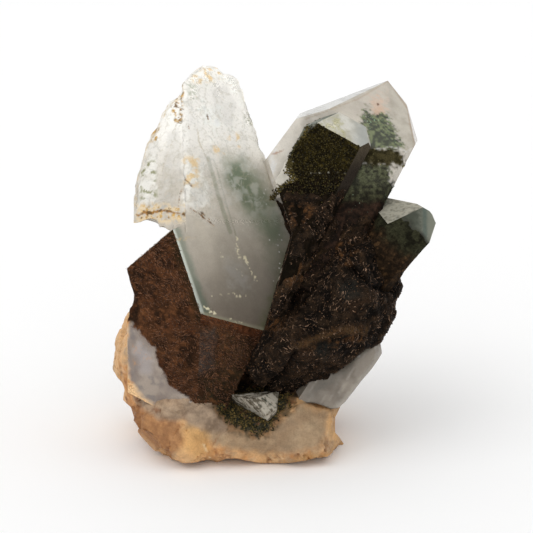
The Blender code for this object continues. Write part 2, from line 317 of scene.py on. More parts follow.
def corners_of(planes):
    normals = np.array([p[0] for p in planes])
    dists = np.array([p[1] for p in planes])
    found = []
    count = len(planes)
    for i in range(count):
        for j in range(i + 1, count):
            line = np.cross(normals[i], normals[j])
            if np.linalg.norm(line) < 1e-6:
                continue
            for k in range(j + 1, count):
                det = line @ normals[k]
                if abs(det) < 1e-6:
                    continue
                p = (np.cross(normals[j], normals[k]) * dists[i] + np.cross(normals[k], normals[i]) * dists[j]
                     + line * dists[k]) / det
                if np.all(normals @ p <= dists + 1e-4) and all(np.linalg.norm(p - q) > 0.02 for q in found):
                    found.append(p)
    return np.array(found)


def hull_object(points, name):
    bm = bmesh.new()
    for p in points:
        bm.verts.new(Vector(p))
    made = bmesh.ops.convex_hull(bm, input=bm.verts)
    inside = [v for v in made["geom_interior"] if isinstance(v, bmesh.types.BMVert)]
    bmesh.ops.delete(bm, geom=inside, context="VERTS")
    bmesh.ops.recalc_face_normals(bm, faces=bm.faces)
    mesh = bpy.data.meshes.new(name)
    bm.to_mesh(mesh)
    bm.free()
    ob = bpy.data.objects.new(name, mesh)
    bpy.context.scene.collection.objects.link(ob)
    return ob


def combine(target, operation, others):
    for other in others:
        mod = target.modifiers.new("bool", "BOOLEAN")
        mod.operation, mod.solver, mod.object = operation, "EXACT", other
        bpy.context.view_layer.update()
        graph = bpy.context.evaluated_depsgraph_get()
        mesh = bpy.data.meshes.new_from_object(target.evaluated_get(graph))
        target.modifiers.clear()
        old, target.data = target.data, mesh
        bpy.data.meshes.remove(old)
        bpy.data.objects.remove(other, do_unlink=True)
    return target


# --------------------------------------------------------------- dense skins
class Skin:
    """A solid's flat faces filled with small triangles, with per-face labels."""

    def __init__(self, ob, step, planes=(), coarse=None):
        """coarse(centre, normal) may return a larger step for a face."""
        bm = bmesh.new()
        bm.from_mesh(ob.data)
        bmesh.ops.remove_doubles(bm, verts=bm.verts, dist=0.02)
        bmesh.ops.dissolve_limit(bm, angle_limit=math.radians(0.2), verts=bm.verts, edges=bm.edges)
        bm.normal_update()
        points = [np.array(v.co) for v in bm.verts]
        bm.verts.index_update()
        steps = {}
        for f in bm.faces:
            c, n = np.array(f.calc_center_median()), np.array(f.normal)
            steps[f.index] = step * (coarse(c, n) if coarse else 1.0)
        splits = {}
        for e in bm.edges:
            h = min(steps[f.index] for f in e.link_faces) if e.link_faces else step
            a, b = e.verts[0].index, e.verts[1].index
            n = max(1, int(round(e.calc_length() / h)))
            ids = [a]
            for t in range(1, n):
                ids.append(len(points))
                points.append(points[a] + (points[b] - points[a]) * t / n)
            ids.append(b)
            splits[e.index] = ids
        rng = np.random.default_rng(5)
        self.faces = []       # (label, normal, vertex ids, local triangles)
        for f in bm.faces:
            h = steps[f.index]
            loop = []
            for l in f.loops:
                ids = splits[l.edge.index]
                loop += ids[:-1] if ids[0] == l.vert.index else ids[:0:-1]
            n = np.array(f.normal)
            u = np.cross(n, (0, 0, 1)) if abs(n[2]) < 0.9 else np.cross(n, (1, 0, 0))
            u /= np.linalg.norm(u)
            v = np.cross(n, u)
            o = points[loop[0]]
            rim = np.array([((points[i] - o) @ u, (points[i] - o) @ v) for i in loop])
            low, high = rim.min(0), rim.max(0)
            gx, gy = np.meshgrid(np.arange(low[0], high[0], h), np.arange(low[1], high[1], h * 0.866))
            gx = gx + (np.arange(gx.shape[0]) % 2)[:, None] * h * 0.5
            g = np.stack([gx.ravel(), gy.ravel()], 1)
            g += rng.uniform(-0.12, 0.12, g.shape) * h
            keep = within(rim, g[:, 0], g[:, 1]) > 0.5 * h if len(g) else np.zeros(0, bool)
            g = g[keep]
            flat = [Vector(p) for p in rim] + [Vector(p) for p in g]
            out = geometry.delaunay_2d_cdt(flat, [], [list(range(len(rim)))], 1, 1e-6)
            first = len(points)
            ids = list(loop) + list(range(first, first + len(g)))
            points += [o + p[0] * u + p[1] * v for p in g]
            remap = [src[0] if src else 0 for src in out[3]]
            tris = np.array([[remap[i] for i in t] for t in out[2]], int)
            if len(tris) == 0:
                continue
            a, b, c = (np.array([flat[i] for i in tris[:, k]]) for k in range(3))
            area = (b[:, 0] - a[:, 0]) * (c[:, 1] - a[:, 1]) - (b[:, 1] - a[:, 1]) * (c[:, 0] - a[:, 0])
            tris[area < 0] = tris[area < 0][:, ::-1]
            label = "cut"
            centre = np.array(f.calc_center_median())
            for pn, pd, pl in planes:
                if pn @ n > 0.9998 and abs(pn @ centre - pd) < 0.05:
                    label = pl
                    break
            self.faces.append((label, n, np.array(ids), tris))
        bm.free()
        bpy.data.objects.remove(ob, do_unlink=True)
        self.p = np.array(points)
        total = np.zeros_like(self.p)
        rims = np.zeros(len(self.p))
        for label, n, ids, tris in self.faces:
            total[ids] += n
            rims[ids] += 1
        self.rim = rims > 1
        self.n = total / np.maximum(np.linalg.norm(total, axis=1, keepdims=True), 1e-9)

    def edge_distance(self, reach=1.2):
        """Distance of every point to the nearest edge of its own face, capped."""
        from mathutils.kdtree import KDTree
        rim = np.flatnonzero(self.rim)
        tree = KDTree(len(rim))
        for i in rim:
            tree.insert(self.p[i], int(i))
        tree.balance()
        d = np.zeros(len(self.p))
        for i in np.flatnonzero(~self.rim):
            d[i] = min(tree.find(self.p[i])[2], reach)
        return d


def write_mesh(name, points, tris, corner=None, point=None, smooth_angle=None, material=None):
    """Mesh object from arrays in mm; corner and point are dicts of attributes."""
    points, tris = np.asarray(points, float) * MM, np.asarray(tris, np.int32)
    mesh = bpy.data.meshes.new(name)
    mesh.vertices.add(len(points))
    mesh.vertices.foreach_set("co", points.ravel())
    mesh.loops.add(len(tris) * 3)
    mesh.loops.foreach_set("vertex_index", tris.ravel())
    mesh.polygons.add(len(tris))
    mesh.polygons.foreach_set("loop_start", np.arange(0, len(tris) * 3, 3, dtype=np.int32))
    mesh.polygons.foreach_set("loop_total", np.full(len(tris), 3, np.int32))
    mesh.update(calc_edges=True)
    for domain, values in (("CORNER", corner or {}), ("POINT", point or {})):
        for key, v in values.items():
            v = np.asarray(v, np.float32)
            if v.ndim == 2:
                a = mesh.color_attributes.new(key, "FLOAT_COLOR", domain)
                a.data.foreach_set("color", np.hstack([v, np.ones((len(v), 1), np.float32)]).ravel())
            else:
                a = mesh.attributes.new(key, "FLOAT", domain)
                a.data.foreach_set("value", v)
    if smooth_angle is not None:
        mesh.polygons.foreach_set("use_smooth", np.ones(len(tris), bool))
        mesh.set_sharp_from_angle(angle=math.radians(smooth_angle))
    ob = bpy.data.objects.new(name, mesh)
    bpy.context.scene.collection.objects.link(ob)
    if material:
        mesh.materials.append(material)
    return ob


def skin_object(name, skin, paint, material, smooth_angle=25.0, coat=None):
    """paint(label, normal, p) gives colour, clear, rough and lift for points of a face."""
    lift = np.zeros(len(skin.p))
    hits = np.zeros(len(skin.p))
    tris, colour, clear, rough = [], [], [], []
    for label, n, ids, t in skin.faces:
        c, k, r, d = paint(label, n, skin.p[ids])
        lift[ids] += d
        hits[ids] += 1
        tris.append(ids[t])
        colour.append(np.broadcast_to(c, (len(ids), 3))[t].reshape(-1, 3))
        clear.append(np.clip(np.broadcast_to(k, len(ids)), 0, 1)[t].ravel())
        rough.append(np.clip(np.broadcast_to(r, len(ids)), 0, 1)[t].ravel())
    p = skin.p + skin.n * (lift / np.maximum(hits, 1))[:, None]
    clear = np.concatenate(clear)
    ob = write_mesh(name, p, np.vstack(tris),
                    corner={"tint": np.vstack(colour), "clear": clear, "rough": np.concatenate(rough)},
                    smooth_angle=smooth_angle, material=material)
    if coat:
        ob.data.materials.append(coat)
        covered = clear.reshape(-1, 3).max(1) < 0.04
        ob.data.polygons.foreach_set("material_index", covered.astype(np.int32))
    skin.moved = p
    return ob


# ------------------------------------------------------------------ materials
def new_material(name):
    mat = bpy.data.materials.new(name)
    mat.use_nodes = True
    tree = mat.node_tree
    shader = tree.nodes["Principled BSDF"]
    return mat, tree, shader


def add(tree, kind, **settings):
    node = tree.nodes.new(kind)
    for key, value in settings.items():
        setattr(node, key, value)
    return node


def math_node(tree, op, a, b=None, clamp=False):
    node = add(tree, "ShaderNodeMath", operation=op, use_clamp=clamp)
    for i, v in enumerate((a, b)):
        if v is None:
            continue
        if isinstance(v, (int, float)):
            node.inputs[i].default_value = v
        else:
            tree.links.new(v, node.inputs[i])
    return node.outputs[0]


def mix_colour(tree, factor, a, b, blend="MIX"):
    node = add(tree, "ShaderNodeMix", data_type="RGBA", blend_type=blend)
    for socket, v in ((node.inputs[0], factor), (node.inputs[6], a), (node.inputs[7], b)):
        if isinstance(v, (int, float)):
            socket.default_value = v
        elif isinstance(v, (tuple, list, np.ndarray)):
            socket.default_value = (*[float(c) for c in v], 1.0)
        else:
            tree.links.new(v, socket)
    return node.outputs[2]


def noise_tex(tree, coords, scale, detail=4.0, rough=0.55):
    node = add(tree, "ShaderNodeTexNoise")
    node.inputs["Scale"].default_value = scale
    node.inputs["Detail"].default_value = detail
    node.inputs["Roughness"].default_value = rough
    tree.links.new(coords, node.inputs["Vector"])
    return node.outputs["Fac"]


def mm_coords(tree, stretch=(1, 1, 1)):
    coord = add(tree, "ShaderNodeTexCoord")
    mapping = add(tree, "ShaderNodeMapping")
    mapping.inputs["Scale"].default_value = tuple(1000.0 * s for s in stretch)
    tree.links.new(coord.outputs["Object"], mapping.inputs["Vector"])
    return mapping.outputs["Vector"]


def remap(tree, value, a, b, c=0.0, d=1.0):
    node = add(tree, "ShaderNodeMapRange")
    for i, v in ((1, a), (2, b), (3, c), (4, d)):
        node.inputs[i].default_value = v
    tree.links.new(value, node.inputs[0])
    return node.outputs[0]


def crystal_material(name, absorb=None, bump_clear=0.015, bump_coat=0.05, specular=0.5):
    """Quartz that is clear where "clear" is 1 and carries a mineral coat where it is 0."""
    mat, tree, shader = new_material(name)
    tint = add(tree, "ShaderNodeAttribute", attribute_name="tint")
    clear = add(tree, "ShaderNodeAttribute", attribute_name="clear")
    rough = add(tree, "ShaderNodeAttribute", attribute_name="rough")
    mm = mm_coords(tree)
    grain = noise_tex(tree, mm, 4.0, 5.0, 0.62)
    fine = noise_tex(tree, mm, 9.0, 3.0, 0.6)
    coat = math_node(tree, "SUBTRACT", 1.0, clear.outputs["Fac"], clamp=True)
    dark = remap(tree, grain, 0.36, 0.66, 0.93, 1.06)
    dark2 = math_node(tree, "MULTIPLY", dark, remap(tree, fine, 0.3, 0.7, 0.96, 1.04))
    shade = add(tree, "ShaderNodeMix", data_type="FLOAT")
    tree.links.new(coat, shade.inputs[0])
    shade.inputs[2].default_value = 1.0
    tree.links.new(dark2, shade.inputs[3])
    grey = add(tree, "ShaderNodeCombineColor")
    for i in range(3):
        tree.links.new(shade.outputs[0], grey.inputs[i])
    colour = mix_colour(tree, 1.0, tint.outputs["Color"], grey.outputs[0], "MULTIPLY")
    tree.links.new(colour, shader.inputs["Base Color"])
    tree.links.new(clear.outputs["Fac"], shader.inputs["Transmission Weight"])
    r = math_node(tree, "ADD", rough.outputs["Fac"], remap(tree, grain, 0.3, 0.7, -0.02, 0.03), clamp=True)
    tree.links.new(r, shader.inputs["Roughness"])
    shader.inputs["IOR"].default_value = 1.544
    shader.inputs["Specular IOR Level"].default_value = specular
    soft = noise_tex(tree, mm, 0.55, 3.0, 0.5)
    height = math_node(tree, "ADD", math_node(tree, "MULTIPLY", soft, bump_clear * 6),
                       math_node(tree, "MULTIPLY", math_node(tree, "ADD", grain, fine), math_node(tree, "MULTIPLY", coat, bump_coat)))
    bump = add(tree, "ShaderNodeBump")
    bump.inputs["Strength"].default_value = 1.0
    bump.inputs["Distance"].default_value = 0.0003
    tree.links.new(height, bump.inputs["Height"])
    tree.links.new(bump.outputs["Normal"], shader.inputs["Normal"])
    if absorb:
        vol = add(tree, "ShaderNodeVolumeAbsorption")
        vol.inputs["Color"].default_value = (*absorb[0], 1.0)
        vol.inputs["Density"].default_value = absorb[1]
        tree.links.new(vol.outputs[0], tree.nodes["Material Output"].inputs["Volume"])
    return mat


def grain_material(name, rough=0.55, specular=0.5, bump=0.4, scale=6.0):
    """Opaque grains, fibres and rock, coloured by "tint" with a fine mottle."""
    mat, tree, shader = new_material(name)
    tint = add(tree, "ShaderNodeAttribute", attribute_name="tint")
    mm = mm_coords(tree)
    n = noise_tex(tree, mm, scale, 5.0, 0.6)
    n2 = noise_tex(tree, mm, scale * 0.25, 4.0, 0.55)
    shade = math_node(tree, "MULTIPLY", remap(tree, n, 0.3, 0.7, 0.78, 1.18), remap(tree, n2, 0.3, 0.7, 0.88, 1.1))
    grey = add(tree, "ShaderNodeCombineColor")
    for i in range(3):
        tree.links.new(shade, grey.inputs[i])
    tree.links.new(mix_colour(tree, 1.0, tint.outputs["Color"], grey.outputs[0], "MULTIPLY"), shader.inputs["Base Color"])
    tree.links.new(remap(tree, n, 0.3, 0.7, rough - 0.12, rough + 0.12), shader.inputs["Roughness"])
    shader.inputs["Specular IOR Level"].default_value = specular
    b = add(tree, "ShaderNodeBump")
    b.inputs["Strength"].default_value = bump
    b.inputs["Distance"].default_value = 0.0002
    tree.links.new(math_node(tree, "ADD", n, n2), b.inputs["Height"])
    tree.links.new(b.outputs["Normal"], shader.inputs["Normal"])
    return mat


def coat_material(name, rough=0.75, specular=0.12, bump=0.5, scale=5.0, low=0.7, high=1.35):
    """Matt mineral coat, coloured by "tint" with a fine mottle."""
    mat, tree, shader = new_material(name)
    tint = add(tree, "ShaderNodeAttribute", attribute_name="tint")
    mm = mm_coords(tree)
    n = noise_tex(tree, mm, scale, 5.0, 0.65)
    n2 = noise_tex(tree, mm, scale * 0.22, 4.0, 0.55)
    shade = math_node(tree, "MULTIPLY", remap(tree, n, 0.32, 0.68, low, high), remap(tree, n2, 0.3, 0.7, 0.85, 1.15))
    grey = add(tree, "ShaderNodeCombineColor")
    for i in range(3):
        tree.links.new(shade, grey.inputs[i])
    tree.links.new(mix_colour(tree, 1.0, tint.outputs["Color"], grey.outputs[0], "MULTIPLY"), shader.inputs["Base Color"])
    tree.links.new(remap(tree, n, 0.3, 0.7, rough + 0.12, rough - 0.15), shader.inputs["Roughness"])
    shader.inputs["Specular IOR Level"].default_value = specular
    b = add(tree, "ShaderNodeBump")
    b.inputs["Strength"].default_value = bump
    b.inputs["Distance"].default_value = 0.00025
    tree.links.new(math_node(tree, "ADD", n, math_node(tree, "MULTIPLY", n2, 0.6)), b.inputs["Height"])
    tree.links.new(b.outputs["Normal"], shader.inputs["Normal"])
    return mat


# --------------------------------------------------------------- small grains
OCTA_V = np.array([(1, 0, 0), (-1, 0, 0), (0, 1, 0), (0, -1, 0), (0, 0, 1), (0, 0, -1)], float)
OCTA_F = np.array([(0, 2, 4), (2, 1, 4), (1, 3, 4), (3, 0, 4), (2, 0, 5), (1, 2, 5), (3, 1, 5), (0, 3, 5)])


def rotations(rng, count):
    q = rng.normal(size=(count, 4))
    q /= np.linalg.norm(q, axis=1, keepdims=True)
    w, x, y, z = q.T
    return np.stack([np.stack([1 - 2 * (y * y + z * z), 2 * (x * y - w * z), 2 * (x * z + w * y)], 1),
                     np.stack([2 * (x * y + w * z), 1 - 2 * (x * x + z * z), 2 * (y * z - w * x)], 1),
                     np.stack([2 * (x * z - w * y), 2 * (y * z + w * x), 1 - 2 * (x * x + y * y)], 1)], 1)


def grains(name, centres, sizes, colours, material, seed=1, squash=(0.55, 1.0)):
    """Many small faceted grains in one mesh."""
    rng = np.random.default_rng(seed)
    count = len(centres)
    base = OCTA_V[None] * rng.uniform(squash[0], squash[1], (count, 6, 1)) * rng.uniform(0.7, 1.3, (count, 1, 3))
    v = np.einsum("nij,nkj->nki", rotations(rng, count), base) * np.asarray(sizes)[:, None, None] + np.asarray(centres)[:, None]
    f = OCTA_F[None] + (np.arange(count) * 6)[:, None, None]
    tint = np.repeat(np.asarray(colours), 6, axis=0)
    return write_mesh(name, v.reshape(-1, 3), f.reshape(-1, 3), point={"tint": tint}, material=material)


def fibres(name, starts, directions, normals, lengths, widths, colours, material, seed=1, bend=0.5, parts=4):
    """Short curved rods lying on a surface, in one mesh."""
    rng = np.random.default_rng(seed)
    count = len(starts)
    side = np.cross(normals, directions)
    side /= np.linalg.norm(side, axis=1, keepdims=True) + 1e-9
    curve = rng.uniform(-bend, bend, (count, 1))
    rings, ts = [], np.linspace(0, 1, parts + 1)
    for t in ts:
        turn = curve * (t - 0.5) * 2
        c = starts + directions * lengths[:, None] * t + side * lengths[:, None] * curve * (t * t - t) * 1.6
        w = widths * (0.45 + 0.55 * math.sin(math.pi * min(max(t, 0.06), 0.94)))
        ring = [c + side * w[:, None], c + normals * w[:, None] * 0.9, c - side * w[:, None], c - normals * w[:, None] * 0.6]
        rings.append(np.stack(ring, 1))
    v = np.concatenate(rings, 1)
    f = []
    for s in range(parts):
        for k in range(4):
            a, b = s * 4 + k, s * 4 + (k + 1) % 4
            f += [(a, a + 4, b + 4), (a, b + 4, b)]
    last = parts * 4
    f += [(0, 1, 2), (0, 2, 3), (last, last + 2, last + 1), (last, last + 3, last + 2)]
    f = np.array(f)[None] + (np.arange(count) * v.shape[1])[:, None, None]
    tint = np.repeat(np.asarray(colours), v.shape[1], axis=0)
    return write_mesh(name, v.reshape(-1, 3), f.reshape(-1, 3), point={"tint": tint}, smooth_angle=40, material=material)


def sprinkle(skin, count, rng, accept, labels=None):
    """Random points on a skin's faces, with their normals, where accept(label, p) is above chance."""
    ps, ns, ls = [], [], []
    for label, n, ids, tris in skin.faces:
        if labels is not None and not any(label.startswith(l) for l in labels):
            continue
        a, b, c = (skin.p[ids[tris[:, k]]] for k in range(3))
        area = 0.5 * np.linalg.norm(np.cross(b - a, c - a), axis=1)
        ps.append((a, b, c, area, n, label))
    total = sum(x[3].sum() for x in ps)
    out_p, out_n = [], []
    for a, b, c, area, n, label in ps:
        k = int(round(count * area.sum() / total))
        if k < 1:
            continue
        pick = rng.choice(len(area), k, p=area / area.sum())
        u, v = rng.random(k), rng.random(k)
        flip = u + v > 1
        u[flip], v[flip] = 1 - u[flip], 1 - v[flip]
        p = a[pick] + (b - a)[pick] * u[:, None] + (c - a)[pick] * v[:, None]
        keep = rng.random(k) < accept(label, p)
        out_p.append(p[keep])
        out_n.append(np.broadcast_to(n, p.shape)[keep])
    return np.vstack(out_p), np.vstack(out_n)


def ready(ob, node=None):
    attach(ob, "root")
    if node:
        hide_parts(node)
    return ob


# ------------------------------------------------------------------- solids
STEP = 0.36


def coarse_solid(name):
    return hull_object(corners_of(crystal_planes(CRYSTALS[name])), name)


def before(names):
    """The space in front of some crystals, as seen from the eye point."""
    pts = []
    for name in names:
        c = corners_of(crystal_planes(CRYSTALS[name]))
        for part in (0.997, 0.75):
            pts.append(EYE + (c - EYE) * part)
    return hull_object(np.vstack(pts), "before")


def box_object(low, high, name="box"):
    return hull_object([(x, y, z) for x in (low[0], high[0]) for y in (low[1], high[1]) for z in (low[2], high[2])], name)


def far_side(centre, normal):
    """Faces turned away from the front get larger triangles."""
    return 1.0 if normal @ NEAR > 0.05 or normal[2] > 0.75 else 1.6


def fine_front(centre, normal):
    return 0.62 if normal @ NEAR > 0.15 else 1.5


CLEAR = lin(238, 238, 234)
WHITE = lin(232, 231, 226)
BROWN = lin(92, 64, 47)
DARK_BROWN = lin(50, 36, 28)
BLACK_BROWN = lin(26, 20, 16)
TAN = lin(172, 133, 98)
OLIVE = lin(60, 56, 28)
BLACK_GREEN = lin(26, 34, 27)
MOSS = lin(58, 80, 58)
TEAL = lin(70, 96, 88)
RUST = lin(166, 104, 52)
CREAM = lin(226, 203, 170)
ORANGE = lin(208, 152, 96)
RED_BROWN = lin(110, 60, 36)
GREY_BEIGE = lin(176, 164, 150)

M1 = [(360, 117), (368, 106), (372, 114), (387, 114), (396, 131), (405, 146), (392, 151), (369, 150), (366, 130)]
M2 = [(360, 162), (367, 147), (392, 148), (404, 155), (405, 167), (398, 167), (386, 165), (372, 165)]
M3 = [(352, 161), (389, 162), (392, 170), (391, 178), (395, 185), (391, 206), (368, 214), (332, 214), (340, 190)]

CRYSTAL_CLEAR = crystal_material("clear_quartz", absorb=((0.82, 0.86, 0.82), 10.0), specular=0.3)
COAT = coat_material("chlorite_coat", 0.8, 0.04, 0.6, 5.0, 0.55, 1.5)
GRAIN = coat_material("chlorite_grains", 0.5, 0.15, 0.3, 8.0, 0.85, 1.15)


def lines(x, y, f, *items):
    """Strength of drawn lines: each (points, half width, wobble)."""
    out = np.zeros(len(x))
    for pts, width, wobble in items:
        out = np.maximum(out, smooth(width + wobble * f - along(pts, x, y), 0.0, 0.9))
    return out


def pull_inside(p, poly, ragged=1.2, seed=5, reach=16.0):
    """Moves points that stick out of an outline back onto it, in the outline's plane."""
    x, y = outline_xy(p)
    d = within(poly, x, y) + ragged * fbm(p, 0.9, seed)
    out = np.flatnonzero(d < 0)
    if not len(out):
        return p
    bx, by, best = x[out].copy(), y[out].copy(), np.full(len(out), 1e9)
    for (ax, ay), (cx, cy) in zip(poly, poly[1:] + poly[:1]):
        ex, ey = cx - ax, cy - ay
        t = np.clip(((x[out] - ax) * ex + (y[out] - ay) * ey) / (ex * ex + ey * ey + 1e-12), 0, 1)
        qx, qy = ax + t * ex, ay + t * ey
        r = np.hypot(x[out] - qx, y[out] - qy)
        closer = r < best
        bx[closer], by[closer], best[closer] = qx[closer], qy[closer], r[closer]
    part = np.minimum(-d[out], reach) / np.maximum(best, 1e-6)
    part = np.clip(part, 0, 1.15)
    k = (EYE_DISTANCE - (p[out] - SHIFT - EYE_TARGET) @ NEAR) / LENS_PX
    p = p.copy()
    p[out] += np.outer((bx - x[out]) * part * k, RIGHT) + np.outer(-(by - y[out]) * part * k, UP)
    return p


BROAD_OUTLINE = [(184, 78), (190, 70), (200, 66), (208, 64), (216, 66), (222, 74), (228, 74), (234, 72), (240, 76), (246, 90),
                 (252, 103), (260, 120), (268, 143), (272, 158), (279, 187), (286, 200), (293, 225), (320, 240), (380, 520),
                 (60, 520), (60, 322), (127, 322), (129.5, 316), (130, 309), (134, 304), (136.5, 300), (133.5, 291), (131, 284), (129, 276),
                 (126.5, 268), (149, 249), (170, 231), (164, 226), (160, 227), (157, 221), (152, 218), (147, 219),
                 (140, 222), (133, 223), (133, 205), (134, 190), (138, 165), (145, 147), (150, 136), (158, 127), (163, 112),
                 (170, 102), (176, 99), (183, 94), (182, 86)]
MASS_OUTLINE = [(200, 150), (345, 150), (392, 200), (420, 240), (405, 262), (398, 283), (399, 287), (403, 286), (402, 291),
                (398, 297), (393, 302), (391, 307), (395, 310), (396, 313), (394, 318), (390, 325), (387, 332), (383, 336),
                (381, 346), (366, 348), (352, 360), (332, 379), (308, 396), (300, 410), (200, 410)]
ROCK_OUTLINE = [(130, 300), (121, 320), (118, 330), (112, 350), (111, 367), (118, 378), (124, 384), (125, 390), (123, 400),
                (131, 407), (135, 405), (136, 412), (134, 420), (139, 428), (152, 433), (158, 440), (161, 447), (165, 450),
                (172, 459), (185, 463), (198, 465), (212, 464), (225, 459), (235, 458), (250, 461), (262, 463), (290, 463),
                (310, 459), (328, 456), (337, 449), (344, 444), (340, 439), (333, 430), (331, 423), (336, 415), (341, 404),
                (340, 395), (300, 250), (160, 250)]


def zones(x, y, f, *polys, soft=3.0):
    out = np.zeros(len(x))
    for poly in polys:
        out = np.maximum(out, smooth(within(poly, x, y) + 2.5 * f, -soft, soft))
    return out


# --- the broad crystal
CLEAR_TIP, HAZY_MIDDLE, DARK_FOOT = lin(250, 247, 240), lin(218, 210, 196), lin(120, 108, 95)
COAT_WARM = 0.86 * np.array([0.86, 0.74, 0.58])
BARE = [(100, 318), (129, 322), (145, 338), (155, 348), (157, 365), (170, 385), (192, 402), (204, 418), (165, 440), (100, 440)]
LOW_SIDE = next((n, d) for n, d, label in crystal_planes(CRYSTALS["broad"]) if label == "side60")


